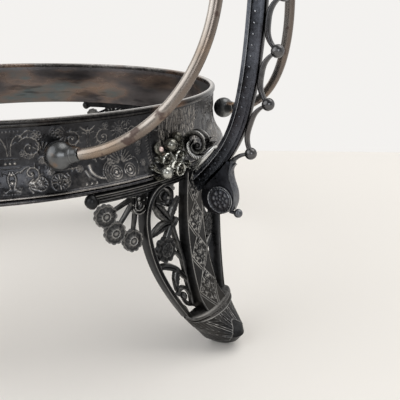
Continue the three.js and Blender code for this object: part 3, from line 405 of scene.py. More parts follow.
class Form:
    """Points, faces and wear of one piece while it is made."""

    def __init__(self):
        self.points, self.faces, self.wear, self.slots = [], [], [], []

    def add(self, points, faces, wear, slots):
        start = sum(len(block) for block in self.points)
        self.points.append(np.asarray(points, float).reshape(-1, 3))
        self.wear.append(np.asarray(wear, float))
        self.faces.extend(tuple(start + i for i in face) for face in faces)
        self.slots.extend(slots)

    def grid(self, rows, wear, around=False, along=False, caps=False, slot=0):
        """Quads between rows of points. around closes each row, along joins the last row to the first."""
        count, size = rows.shape[:2]
        faces = []
        for i in range(count if along else count - 1):
            a, b = i * size, ((i + 1) % count) * size
            for k in range(size if around else size - 1):
                n = (k + 1) % size
                faces.append((a + k, a + n, b + n, b + k))
        if caps:
            faces.append(tuple(range(size)))
            faces.append(tuple((count - 1) * size + k for k in reversed(range(size))))
        self.add(rows, faces, np.broadcast_to(wear, (count, size)).reshape(-1), [slot] * len(faces))

    def solid(self, rows, wear, slot=0):
        """A closed body: every row goes round, and the end rows are capped."""
        self.grid(rows, wear, around=True, caps=True, slot=slot)

    def ball(self, radius, centre, wear, around=16, rows=9, slot=0):
        self.solid(sphere(radius, centre, around, rows), wear, slot)

    def join(self, other, change=lambda points: points, shade=lambda wear: wear):
        points, wear = np.concatenate(other.points), np.concatenate(other.wear)
        self.add(change(points), other.faces, shade(wear), other.slots)

    def changed(self, change):
        result = Form()
        result.join(self, change)
        return result

    def make(self, name, *materials):
        """A mesh object of the piece, its faces outwards and its sharp edges kept."""
        mesh = bpy.data.meshes.new(name)
        mesh.from_pydata((np.concatenate(self.points) * MM).tolist(), [], self.faces)
        attribute = mesh.attributes.new("wear", "FLOAT", "POINT")
        attribute.data.foreach_set("value", np.clip(np.concatenate(self.wear), 0, 1).astype(np.float32))
        mesh.polygons.foreach_set("material_index", self.slots)
        work = bmesh.new()
        work.from_mesh(mesh)
        bmesh.ops.recalc_face_normals(work, faces=work.faces)
        sharp = math.radians(50)
        for face in work.faces:
            face.smooth = True
        for edge in work.edges:
            edge.smooth = not (edge.is_manifold and edge.calc_face_angle(0) > sharp)
        work.to_mesh(mesh)
        work.free()
        piece = bpy.data.objects.new(name, mesh)
        bpy.context.scene.collection.objects.link(piece)
        for material in materials:
            mesh.materials.append(material)
        return piece


def settle(piece, slot, *nodes):
    """The piece rides on the model's one body and stands for the named solids."""
    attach(piece, ROOT_BODY)
    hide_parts(*nodes)


def settle_both(form, name, node, *materials):
    """The piece at the right root of the handle, and by a half turn at the left one."""
    settle(form.make(f"{name}_right", *materials), "cast_silver", f"{node}_right")
    settle(form.changed(half_turned).make(f"{name}_left", *materials), "cast_silver", f"{node}_left")


# Collar


def sheet_radius(height):
    fall = np.clip((FLARE_TOP - height) / (FLARE_TOP - MOULDING_TOP), 0, 1)
    return COLLAR_RADIUS + FLARE_OUT * fall ** 2


class Relief:
    """Rolled ornament as heights on a flat grid of millimetres."""

    STEP = 0.1

    def __init__(self, length, height):
        across, up = np.arange(0, length + self.STEP, self.STEP), np.arange(0, height + self.STEP, self.STEP)
        self.s, self.h = np.meshgrid(across, up, indexing="ij")
        self.level = np.zeros_like(self.s)

    def raise_to(self, level):
        self.level = np.maximum(self.level, level)

    def distance(self, s, h):
        return np.hypot(self.s - s, self.h - h)

    def stroke(self, points, width, level=1.0, steps=24, taper=False):
        line = spline(points, steps)
        nearest = np.full_like(self.s, 9.0)
        for k, (a, b) in enumerate(zip(line[:-1], line[1:])):
            along = b - a
            share = ((self.s - a[0]) * along[0] + (self.h - a[1]) * along[1]) / max(along @ along, 1e-9)
            share = np.clip(share, 0, 1)
            thin = 1 - 0.6 * k / steps if taper else 1
            gap = self.distance(a[0] + share * along[0], a[1] + share * along[1])
            nearest = np.minimum(nearest, gap / thin)
        self.raise_to(level * ridge(nearest, 0.85 * width))

    def boss(self, s, h, radius, level=1.0):
        self.raise_to(level * np.sqrt(np.clip(1 - (self.distance(s, h) / radius) ** 2, 0, 1)))

    def ring(self, s, h, radius, width=0.11, level=0.9):
        self.raise_to(level * ridge(self.distance(s, h) - radius, width))

    def tendril(self, s, h, radius, start, turns, leaves):
        """A volute that winds in from its rim and carries leaflets; negative turns wind the other way."""
        def wind(share):
            angle = math.radians(start) + share * turns * 2 * math.pi
            reach = radius * (1 - 0.8 * share)
            return np.stack([s + reach * np.cos(angle), h + reach * np.sin(angle)], axis=-1), angle

        self.stroke(wind(np.linspace(0, 1, 16))[0], 0.14, 0.9, 36)
        self.boss(s, h, 0.26)
        for k in range(leaves):
            root, angle = wind(0.04 + 0.42 * k / leaves)
            for lean, size in ((0.7, 0.85), (math.pi - 1.0, 0.5)):
                heading = angle + math.copysign(lean, turns)
                tip = root + size * np.array([math.cos(heading), math.sin(heading)])
                self.stroke([root, (root + tip) / 2, tip], 0.13, 0.75, 5, True)

    def flower(self, s, h, radius, petals):
        for k in range(petals):
            angle = 2 * math.pi * k / petals + 0.3
            reach = 0.64 * radius
            self.ring(s + reach * math.cos(angle), h + reach * math.sin(angle), 0.3 * radius, 0.1, 0.75)
        self.boss(s, h, 0.2 * radius, 0.9)

    def fan(self, s, h, inner, outer, first, last, count, width=0.14):
        """Tapering strokes that spread from a point."""
        for angle in np.radians(np.linspace(first, last, count)):
            direction = np.array([math.cos(angle), math.sin(angle)])
            self.stroke([[s, h] + outer * direction, [s, h] + inner * direction], width, 0.9, 4, True)

    def rosette(self, s, h, radius):
        """A ringed flower with fine rays."""
        self.ring(s, h, radius, 0.1, 0.8)
        self.fan(s, h, 0.34 * radius, 0.86 * radius, 0, 330, 12, 0.1)
        self.ring(s, h, 0.28 * radius, 0.09, 0.7)
        self.boss(s, h, 0.16 * radius, 0.9)

    def at(self, s, h):
        """Height at any point, between the grid's points."""
        rows, columns = self.level.shape
        x, y = np.clip(s / self.STEP, 0, rows - 1.001), np.clip(h / self.STEP, 0, columns - 1.001)
        i, j = x.astype(int), y.astype(int)
        u, v = x - i, y - j
        low, high = (self.level[i, k] * (1 - u) + self.level[i + 1, k] * u for k in (j, j + 1))
        return low * (1 - v) + high * v


def draw_collar_ornament(relief):
    """Pilasters, rosettes, palmettes and scrolls, measured from the middle of a foot."""
    stroke, boss, ring = relief.stroke, relief.boss, relief.ring
    # Pilaster: a beaded band, a leafy cup above it and a stacked column below
    axis = 45.75
    for h in (9.35, 7.5):
        stroke([(43.9, h), (48.3, h)], 0.11, 0.9, 4)
    for offset in (-0.95, 0, 0.95):
        boss(axis + offset, 8.42, 0.34)
    for side in (-1, 1):
        for offsets, width, level, steps, taper in (
            ([(0.35, 10.1), (0.45, 11.8), (1.1, 13.6), (2.2, 14.5), (3.0, 14.0)], 0.15, 0.95, 24, False),
            ([(0.7, 12.4), (1.6, 12.9), (2.2, 12.6)], 0.13, 0.7, 12, True),
            ([(0.25, 6.7), (0.8, 5.2), (0.35, 3.2)], 0.15, 0.9, 12, False),
            ([(0.7, 6.2), (1.7, 6.6), (2.0, 5.8)], 0.13, 0.7, 12, True),
            ([(0.5, 3.3), (1.5, 2.6), (1.9, 3.3)], 0.13, 0.7, 12, True),
        ):
            stroke([(axis + side * offset, h) for offset, h in offsets], width, level, steps, taper)
    stroke([(axis, 10.2), (axis, 14.0)], 0.12, 0.7, 4)
    boss(axis, 4.4, 0.42)
    boss(axis, 6.1, 0.38)
    # Scrolls: centre, radius, start in degrees, turns, leaflets
    for scroll in (
        (41.4, 11.6, 2.6, 35, 1.25, 7), (50.2, 11.8, 2.2, 150, -1.25, 6), (50.2, 5.2, 2.2, 205, 1.25, 6),
        (41.6, 6.0, 1.9, -70, -1.2, 5), (37.0, 8.6, 2.2, 110, -1.3, 6), (32.2, 12.6, 1.9, 60, 1.3, 5),
        (33.0, 8.0, 2.1, 240, 1.3, 6), (24.9, 12.3, 2.0, 130, -1.3, 6), (25.6, 8.0, 1.9, -40, 1.3, 5),
        (17.0, 12.8, 1.7, 200, 1.3, 5), (9.4, 12.4, 1.7, 20, 1.3, 5), (9.2, 6.4, 1.8, -60, -1.3, 5),
    ):
        relief.tendril(*scroll)
    # Flowers: centre, radius, petals
    for flower in (
        (39.7, 14.2, 1.15, 6), (35.6, 14.4, 1.15, 6), (14.6, 12.6, 0.8, 6), (14.9, 4.6, 0.8, 6),
        (24.2, 15.0, 0.8, 6), (37.6, 6.0, 0.8, 6), (31.2, 5.8, 0.8, 6), (42.9, 10.4, 0.8, 6),
        (39.2, 8.6, 0.8, 6), (20.6, 13.5, 1.15, 7), (15.3, 9.6, 0.95, 6), (15.7, 7.5, 0.95, 6),
    ):
        relief.flower(*flower)
    ring(35.6, 14.4, 1.35, 0.1, 0.6)
    relief.rosette(36.0, 3.6, 1.75)
    relief.rosette(39.9, 3.7, 1.35)
    # Fans: centre, inner and outer reach, first and last angle, strokes, their width
    for fan in (
        (38.9, 10.6, 0.7, 2.1, 30, 150, 6), (33.4, 14.0, 0.8, 2.2, -70, 60, 6),
        (42.9, 3.6, 0.5, 2.0, 140, 230, 5), (33.3, 3.8, 0.5, 1.8, -50, 60, 5),
        (28.5, 13.4, 0.4, 1.5, 20, 160, 5), (24.4, 5.6, 0.3, 1.7, 100, 200, 5),
        (21.0, 5.6, 0.7, 3.4, 8, 172, 11, 0.17), (21.0, 5.6, 0.5, 1.7, 20, 160, 7, 0.12),
        (18.6, 15.6, 0.4, 1.5, 200, 330, 5, 0.12), (26.4, 11.0, 0.4, 1.5, 150, 260, 5, 0.12),
        (34.6, 10.8, 0.4, 1.5, 60, 170, 5, 0.12), (41.2, 9.0, 0.4, 1.5, 20, 120, 5, 0.12),
        (20.6, 13.5, 1.3, 2.2, 0, 330, 12, 0.11),
    ):
        relief.fan(*fan)
    # Small column with its capital, and the long comma beside it
    for s in (28.15, 28.85):
        stroke([(s, 10.6), (s, 14.2)], 0.11, 0.8, 4)
    boss(28.5, 9.9, 0.5)
    stroke([(28.9, 6.2), (28.5, 4.7), (27.3, 3.4), (25.5, 2.8)], 0.34, 1.0, 24, True)
    stroke([(29.9, 5.2), (29.3, 3.9), (28.2, 2.9)], 0.2, 0.8, 16, True)
    for s in (30.4, 29.2, 28.0):
        boss(s, 2.3, 0.24)
    # Two ringed rosettes under the palmette, with nested arcs beside them
    for s in (22.7, 19.0):
        ring(s, 3.7, 1.45)
        ring(s, 3.7, 0.9)
        boss(s, 3.7, 0.4)
    turns = np.radians([-35, 0, 35, 75])
    for reach in (2.1, 2.65, 3.2):
        stroke(np.stack([22.7 + reach * np.cos(turns), 3.9 + reach * np.sin(turns)], axis=1), 0.13, 0.85, 16)
    # Plain tendrils
    for points, width, level in (
        ([(43.4, 13.9), (41.8, 15.3), (40.4, 15.1), (39.6, 14.0)], 0.13, 0.8),
        ([(43.9, 6.5), (42.4, 7.4), (40.8, 7.0)], 0.13, 0.7),
        ([(30.2, 15.2), (29.2, 14.4), (27.8, 14.4), (26.8, 15.2)], 0.14, 0.9),
        ([(17.3, 2.4), (16.4, 4.0), (16.8, 6.0), (18.0, 6.6)], 0.13, 0.85),
        ([(24.4, 2.4), (25.2, 3.8)], 0.12, 0.6),
        ([(17.4, 10.6), (18.4, 10.0), (18.4, 9.0)], 0.12, 0.7),
    ):
        stroke(points, width, level)
    # Rows of grains: count, first place, step, radius, level
    for count, s, h, step_s, step_h, radius, level in (
        (7, 43.4, 15.3, 0.78, 0, 0.2, 0.75), (7, 44.3, 2.3, 0.55, 0, 0.17, 0.6),
        (11, 9.6, 15.4, 0.72, -0.32, 0.22, 0.8), (12, 11.3, 3.2, 0, 0.72, 0.16, 0.6),
    ):
        for k in range(count):
            boss(s + step_s * k, h + step_h * k, radius, level)
    for k in range(12):
        stroke([(12.9, 3.0 + 0.72 * k), (12.1, 3.3 + 0.72 * k)], 0.13, 0.75, 4)
    # Upright grain over the foot
    random = np.random.default_rng(5)
    for s in np.arange(0.2, 8.6, 0.36):
        h = 2.2 + random.uniform(0, 1.5)
        while h < 15.6:
            end = min(h + random.uniform(1.5, 4.5), 15.8)
            lean = random.uniform(-0.3, 0.3, 3)
            stroke([(s + lean[0], h), (s + lean[1], (h + end) / 2), (s + lean[2], end)],
                   random.uniform(0.08, 0.14), random.uniform(0.45, 1.0), 5)
            h = end + random.uniform(0.1, 0.8)
    # Fine stipple of the ground
    for _ in range(420):
        boss(random.uniform(9, 52), random.uniform(2.2, 15.6), random.uniform(0.1, 0.17), 0.35)


def make_collar():
    relief = Relief(52.2, 17.0)
    draw_collar_ornament(relief)
    angles = full_turn(2400)[:, None]
    heights = np.linspace(MOULDING_TOP, WIRE_SEAT, 92)
    # Each quarter repeats the ornament on both sides of its foot
    s = np.abs((angles + math.pi / 4) % (math.pi / 2) - math.pi / 4) * COLLAR_RADIUS
    h = heights - LEG_HEIGHT
    # It fades out at the plain borders above and below, and its ground lies under the sheet's own surface
    low, high, fade, ground = 1.9, 15.9, 0.3, 0.35
    level = relief.at(s, h) * (np.clip((h - low) / fade, 0, 1) * np.clip((high - h) / fade, 0, 1))
    radius = sheet_radius(heights) + (level - ground) * sizes().relief / MM
    radius[:, 0], radius[:, -1] = sheet_radius(heights[0]), COLLAR_RADIUS
    # Painted sheen: the wall is lighter low down, away from the feet, standing in for the table's reflection
    # in the flare.
    painted_low_sheen = 0.12 * np.clip((7.5 - h) / 3.5, 0, 1) * np.clip(s / 9 - 1, 0, 1)
    # Painted highlight: over each foot the upright grain gets more wear and a flatter curve, so it shows
    # brighter.
    painted_grain_highlight = np.clip((9.5 - s) / 1.5, 0, 1)
    wear = 0.30 + painted_low_sheen + (0.62 + 0.1 * painted_grain_highlight) * level ** (1.9 - 1.1 * painted_grain_highlight)
    inside = np.array([WIRE_SEAT, 64.0, FLARE_TOP, 59.4, 57.8, 56.1, MOULDING_TOP, LEG_HEIGHT])
    lower = np.array([LEG_HEIGHT, LEG_HEIGHT, MOULDING_TOP])
    form = Form()
    for radii, levels, shade, slot in (
        (radius, heights, wear, 0),
        (sheet_radius(inside) - COLLAR_SHEET, inside, 0.5, 1),
        (sheet_radius(lower) - [COLLAR_SHEET, 0, 0], lower, 0.6, 0),
        (COLLAR_RADIUS - np.array([COLLAR_SHEET, 0]), np.full(2, WIRE_SEAT), 0.5, 0),
    ):
        form.grid(polar(radii, angles, levels), shade, along=True, slot=slot)
    # The dark patch colour clouds the wall: painted shadow spots like those beside the knobs, scattered by
    # noise together with the tarnish.
    body, edge, patch = (0.060, 0.061, 0.066), (0.64, 0.60, 0.55), (0.040, 0.034, 0.031)
    wall = tarnished("collar_wall", body, edge, patch, 0.5, 0.34)
    settle(form.make("collar_sheet", wall, tarnished_inside()), "oxidised_silver", "collar")


def make_rim_wire():
    outer, inner = COLLAR_RADIUS + 0.5, COLLAR_RADIUS - COLLAR_SHEET
    outside = ((0.25, 0), (0.05, 0.25), (0, 0.6), (0.12, 0.8))
    profile = [(inner, WIRE_SEAT), *((outer - back, WIRE_SEAT + up) for back, up in outside)]
    wear = [0.3, 0.1, 0.2, 0.3, 0.05]
    corner = 0.45
    for start, middle, first, step in ((0, outer - corner, 0.22, 0.07), (90, inner + corner, 0.98, -0.06)):
        for k in range(7):
            angle = math.radians(start + 15 * k)
            profile.append((middle + corner * math.cos(angle), RIM_TOP - corner + corner * math.sin(angle)))
            wear.append(first + step * k)
    form = Form()
    form.grid(lathe(profile, 360), wear, around=True, along=True)
    body, edge, patch = (0.075, 0.072, 0.070), (0.62, 0.59, 0.56), (0.34, 0.17, 0.08)
    bright = tarnished("rim_silver", body, edge, patch, 0.3, 0.28)
    settle(form.make("rim_band", bright), "worn_silver", "rim_wire")


def make_lower_moulding():
    """Two beads with a groove between them, as places outside the sheet and above its edge, with wear."""
    def bead(out, up, radius, worn):
        turn = np.radians(np.linspace(-80, 80, 7))
        return [(out + radius * math.cos(a), up + radius * math.sin(a), worn * (0.45 + 0.55 * math.cos(a)))
                for a in turn]

    section = [(0, 0, 0.2), (0.5, 0, 0.2), *bead(0.36, 0.46, 0.42, 0.5), (0.12, 0.98, 0),
               *bead(0.16, 1.28, 0.26, 0.82), (0, MOULDING_TOP - LEG_HEIGHT, 0.1)]
    out, up, wear = np.array(section).T
    form = Form()
    profile = np.stack([COLLAR_RADIUS + FLARE_OUT + out, LEG_HEIGHT + up], axis=1)
    form.grid(lathe(profile, 360), wear, around=True, along=True)
    edge = tarnished("moulding_silver", (0.045, 0.045, 0.050), (0.50, 0.47, 0.44), (0.10, 0.075, 0.055))
    settle(form.make("moulding_beads", edge), "oxidised_silver", "lower_moulding")


# Feet: drawn flat as (depth, along the curve, height) and then bent onto the casting's flaring surface


def foot_fall(height):
    return np.maximum(0, (FOOT_FLARE_START - height) / (FOOT_FLARE_START - ANKLE_HEIGHT))


def bend_foot(points):
    surface = FOOT_RADIUS + FOOT_FLARE * foot_fall(points[:, 2]) ** 2.25
    return polar(surface + points[:, 0], points[:, 1] / surface, points[:, 2])


def blade(form, points, widths, base, thick, vein=0.0, count=26, ribs=0):
    """A leaf or stalk: a crowned strip that lies on its base, with widths along its length."""
    along = np.linspace(0, 1, count)
    width = np.maximum(np.interp(along, np.linspace(0, 1, len(widths)), widths), 0.06)[:, None]
    u = np.linspace(-1, 1, 11)
    groove = ridge(u, 0.16)
    height = np.tile(thick * (0.35 + 0.65 * np.sqrt(1 - u ** 2 * 0.98)) - vein * thick * groove, (count, 1))
    if ribs:
        wave = np.sin(2 * math.pi * (ribs * along[:, None] - 1.2 * np.abs(u)))
        height = height + 0.1 * thick * wave * np.clip(width / max(widths), 0, 1)
    shade = 0.24 + 0.28 * (height / thick - 0.35) + 0.30 * (np.abs(u) > 0.78) - (0.2 * groove if vein else 0)
    under = np.zeros((count, 2))
    section = np.stack([np.hstack([height, under]), width * np.append(u, [1, -1])], axis=-1)
    form.solid(flat_sweep(spline(points, count), base, section), np.hstack([shade, under + 0.1]))


def rosette(
    form, centre, radius, base, thick, surface, petals=0, notch=0.12, rings=12, spokes=54, plane=None,
):
    """A flower or boss drawn about a centre: surface gives height and wear from radius share and angle."""
    share, angle = np.meshgrid([*np.linspace(0.02, 1, rings), 1.0, 0.02], full_turn(spokes), indexing="ij")
    reach = radius * share * (1 - notch * np.abs(np.sin(petals * angle / 2)) ** 4)
    height, shade = surface(share, angle)
    height = base + thick * height
    height[-2:] = base
    rows = np.stack([height, centre[0] + reach * np.sin(angle), centre[1] + reach * np.cos(angle)], axis=-1)
    form.solid(plane(rows) if plane else rows, shade)


def daisy_surface(share, angle):
    outer = np.clip((share - 0.46) / 0.1, 0, 1)
    notch = ridge(np.abs(np.cos(sizes().petals * angle / 2)), 0.22) * outer
    dome = ridge(share, 0.2)
    ring = ridge(share - 0.38, 0.06)
    cup = ridge(share - 0.78, 0.16) * (1 - notch) * outer
    height = 0.72 - 0.14 * cup + 0.16 * dome + 0.14 * ring - 0.12 * notch
    rims = 0.4 * ring + 0.34 * ridge(share - 0.93, 0.035) - 0.3 * ridge(share - 0.27, 0.05)
    return height, 0.52 + 0.30 * dome + rims - 0.10 * cup - 0.14 * notch


def bloom_surface(share, angle):
    """A dark disc with scalloped petals that only their thin rims set off, and a rough ringed heart."""
    seam = ridge(np.abs(np.cos(5.5 * angle)), 0.25) * (share > 0.62)
    rim, ring = ridge(share - 0.95, 0.045), ridge(share - 0.56, 0.05)
    heart = np.abs(np.cos(3.5 * angle + 0.6)) * ridge(share - 0.34, 0.13)
    height = 0.66 + 0.10 * rim + 0.12 * ring - 0.10 * seam + 0.16 * heart + 0.14 * ridge(share, 0.12)
    return height, 0.20 + 0.55 * rim + 0.36 * ring - 0.18 * seam + 0.30 * heart


def foot_front(form):
    """Right half of the pierced front."""
    # Outer strip, arched over into the bar at the top
    line = spline([
        (9.1, 10.8), (11.8, 16.6), (14.1, 22.2), (15.9, 27.6), (17.1, 32.6), (17.8, 37.2), (18.1, 41.2),
        (17.7, 44.6), (16.6, 47.4), (14.8, 49.3), (12.6, 50.2),
    ], 84)
    share = np.linspace(0, 1, len(line))[:, None]
    width = np.interp(share, [0, 0.8, 1], [1.45, 1.3, 1.1])
    thick = np.interp(share, [0, 0.82, 1], [3.9, 3.8, 2.6])
    # Its section: two sunk lines in front, then depths behind, as shares of its thickness with a bevel
    front = [-0.14, 0.03, 0.03, -0.2, -0.05, -0.2, 0.02, 0.02, -0.16]
    behind, bevel = [-0.5, -1, -1, -1, -1, -0.5], [0, 0.15, 0, 0, 0.15, 0]
    across = [-0.5, -0.42, -0.28, -0.14, 0.02, 0.18, 0.30, 0.42, 0.5, 0.5, 0.5, 0.35, -0.35, -0.5, -0.5]
    depth = np.hstack([np.tile(front, (len(line), 1)), thick * behind + bevel])
    shade = [0.35, 0.52, 0.42, 0.08, 0.32, 0.08, 0.42, 0.82, 0.35, 0.3, 0.38, 0.2, 0.2, 0.38, 0.30]
    form.solid(flat_sweep(line, 0.0, np.stack([depth, width * across], axis=-1)), shade)
    # Ring inside the arch, then stem, leaves and tendrils: points, widths, thickness, vein, steps, ribs
    base = -3.1
    for points, widths, *rest in (
        ([(14.6, 44.6), (14.3, 47.2), (12.7, 48.9), (10.4, 48.9), (8.4, 47.2), (8.3, 44.8), (9.6, 43.5),
          (11.0, 44.0)], [0.4, 0.55, 0.6, 0.6, 0.6, 0.55, 0.45, 0.3], 1.9, 0.5, 46),
        ([(8.1, 38.4), (6.8, 34.0), (5.3, 28.8), (4.6, 23.8), (4.5, 16.0), (4.9, 12.6)],
         [0.8, 0.75, 0.7, 0.75, 0.8, 0.9], 1.5, 0.2, 44),
        ([(9.0, 38.8), (11.8, 42.0), (15.0, 45.7)], [0.5, 1.5, 1.75, 1.2, 0.1], 1.4, 0.45, 26, 7),
        ([(8.7, 39.0), (6.9, 41.6), (4.6, 44.6)], [0.4, 1.25, 1.4, 0.9, 0.1], 1.4, 0.45, 26, 6),
        ([(8.6, 37.9), (12.0, 37.6), (16.4, 35.9)], [0.4, 1.25, 1.5, 1.1, 0.1], 1.5, 0.5, 26, 8),
        ([(6.0, 38.9), (7.0, 37.6), (8.0, 36.9)], [0.7, 0.95, 0.8], 1.9),
        ([(8.4, 37.2), (9.6, 34.8), (10.6, 33.4)], [0.8, 1.0, 1.1, 0.9], 1.5, 0.3),
        ([(8.4, 29.2), (6.6, 28.2), (5.2, 26.4)], [0.4, 0.6, 0.6], 1.2),
        ([(13.6, 29.2), (15.2, 28.6), (16.2, 28.4)], [0.5, 0.6, 0.6], 1.2),
        ([(15.4, 25.2), (13.8, 26.5), (10.8, 25.7), (7.6, 23.6), (5.0, 20.2)],
         [0.4, 0.8, 1.0, 0.9, 0.6], 1.4, 0.4, 34),
        ([(7.7, 24.2), (8.7, 21.6), (9.9, 18.2)], [0.4, 1.15, 1.3, 0.8, 0.08], 1.4, 0.45, 26, 6),
        ([(4.7, 14.8), (6.0, 17.6), (8.2, 18.2), (9.8, 16.9)], [0.4, 0.55, 0.6, 0.5], 1.3),
        ([(5.4, 12.6), (6.9, 13.4), (7.9, 15.2)], [0.6, 0.6, 0.5], 1.3),
        ([(9.8, 14.4), (8.6, 13.0), (8.2, 11.6)], [0.3, 0.6, 0.6], 1.3),
    ):
        blade(form, points, widths, base, *rest)
    rosette(form, (11.0, 31.0), 3.6, base, 2.1, bloom_surface, petals=9, spokes=72)
    for centre, radius, wear in (
        ((-1.9, 10.9, 46.3), 1.35, 0.3), ((-0.75, 10.9, 46.3), 0.45, 0.75), ((-2.2, 7.9, 16.2), 1.1, 0.45),
    ):
        form.ball(radius, centre, wear)


def foot_fan(form):
    """Right-hand fan: pierced hub, spokes and daisies."""
    front, hub, bend = -0.9, 19.8, LEG_HEIGHT - 5.2
    # Two beaded loops that hang from the bar
    for reach, half, thick, beads in ((2.1, 0.36, 1.9, 20), (1.35, 0.24, 1.6, 16)):
        turn, start = np.linspace(0, math.pi, 9), LEG_HEIGHT - 1.4
        round_bend = zip(hub + reach * np.cos(turn), bend - reach * np.sin(turn))
        loop = [(hub + reach, start), *round_bend, (hub - reach, start)]
        blade(form, loop, [half, half], front - 2.0, thick, 0.3, 40)
        for point in spline(loop, 2 * beads)[1::2]:
            form.ball(0.2, (front - 2.0 + thick, *point), 0.85, 8, 5)
    # Crossed bars inside the loops, with a stud in the middle
    for a, b in np.array([hub, bend]) + [
        [(-1.2, 3.4), (1.2, 0.2)], [(1.2, 3.4), (-1.2, 0.2)], [(0, 3.6), (0, -1.2)],
        [(-1.2, 1.7), (1.2, 1.7)],
    ]:
        blade(form, [a, (a + b) / 2, b], [0.22, 0.22], front - 1.9, 1.0, 0.0, 8)
    form.ball(0.55, (front - 0.8, hub, bend + 1.75), 0.8)
    middle = np.array([hub, LEG_HEIGHT - 2.6])
    for k in range(3):
        angle = -math.radians(20.5 + 29.4 * k)
        direction = np.array([math.cos(angle), math.sin(angle)])
        end = middle + (9.9 + k) * direction
        start = middle + (2.6 if k < 2 else 4.4) * direction
        blade(form, [start, (start + end) / 2, end], [0.62, 0.46, 0.42], front - 1.8, 1.3, 0.25, 12)
        rosette(form, end, 2.95, front - 1.9, 1.9, daisy_surface, sizes().petals, 0.09, 20, 110)


def draw_panel_ornament(relief, middle):
    """Flower, short leaves and grains that fill one lozenge of the foot's panel."""
    flower_radius, leaves, grains = 1.2, 46, 150
    relief.flower(*middle, flower_radius, 5)
    random = np.random.default_rng(11)
    for k in range(leaves):
        place = np.array([random.uniform(0.8, 9.2), 2 * middle[1] * (k + 0.5) / leaves])
        if math.dist(place, middle) > flower_radius + 0.1:
            lean = random.uniform(0, 2 * math.pi)
            tip = place + random.uniform(0.7, 1.1) * np.array([math.cos(lean), math.sin(lean)])
            width, level = random.uniform(0.18, 0.28), random.uniform(0.6, 1.0)
            relief.stroke([place, (place + tip) / 2, tip], width, level, 5, True)
    for _ in range(grains):
        relief.boss(random.uniform(0.6, 9.4), random.uniform(0.2, 10.0), random.uniform(0.16, 0.3), 0.85)


def foot_panel(form):
    """The raised tapering middle: a chain of lozenges filled with flowers, edged by fine double lines."""
    breadth, pitch, widest = 10.0, 10.2, 17.0
    relief = Relief(breadth, pitch)
    draw_panel_ornament(relief, (breadth / 2, pitch / 2))
    z = np.linspace(11.6, LEG_HEIGHT - 0.2, 300)[:, None]
    half = np.interp(z, [12, LEG_HEIGHT], [4.7, 3.4])
    y = half * np.linspace(-1, 1, 73)
    turn = ((z - widest) / pitch) % 1
    gap = np.abs(y) - half * (0.86 * np.abs(2 * turn - 1) + 0.05)
    line = (ridge(gap, 0.13) + ridge(gap - 0.75, 0.13) * (turn > 0.5)) * (np.abs(y) < half - 0.15)
    border = ridge(np.abs(y) - half + 0.10, 0.10)
    fill = np.clip(-gap / 0.25, 0, 1) * relief.at(y + breadth / 2, (z - widest + pitch / 2) % pitch)
    flare = 1.5 * np.clip((16.0 - z) / 4.2, 0, 1) ** 1.6
    front = 1.5 * foot_fall(z) + flare + 0.1 + (0.12 * line + 0.16 * border + 0.34 * fill) - 0.22
    # The walls behind the front's edges
    depth = np.column_stack([front, front[:, -1:] - 0.15, np.full((len(z), 2), -3.0), front[:, :1] - 0.15])
    across = np.hstack([y, half * [1.03, 1.03, -1.03, -1.03]])
    shade = np.hstack([0.16 + 0.90 * (line + border + fill), np.tile([0.3, 0.1, 0.1, 0.3], (len(z), 1))])
    form.solid(np.stack(np.broadcast_arrays(depth, across, z), axis=-1), shade)


def bowed_rows(levels, steps):
    """Level outlines, straight behind and bowed in front, from height, back, corner, front, half width."""
    angles = np.linspace(-math.pi / 2, math.pi / 2, steps)
    height, back, corner, front, half = np.array(levels).T[..., None]
    x = np.hstack([corner + (front - corner) * np.cos(angles), np.tile(back, 3)])
    y = half * np.concatenate([np.sin(angles), [1, 0, -1]])
    return np.stack(np.broadcast_arrays(x, y, height), axis=-1)


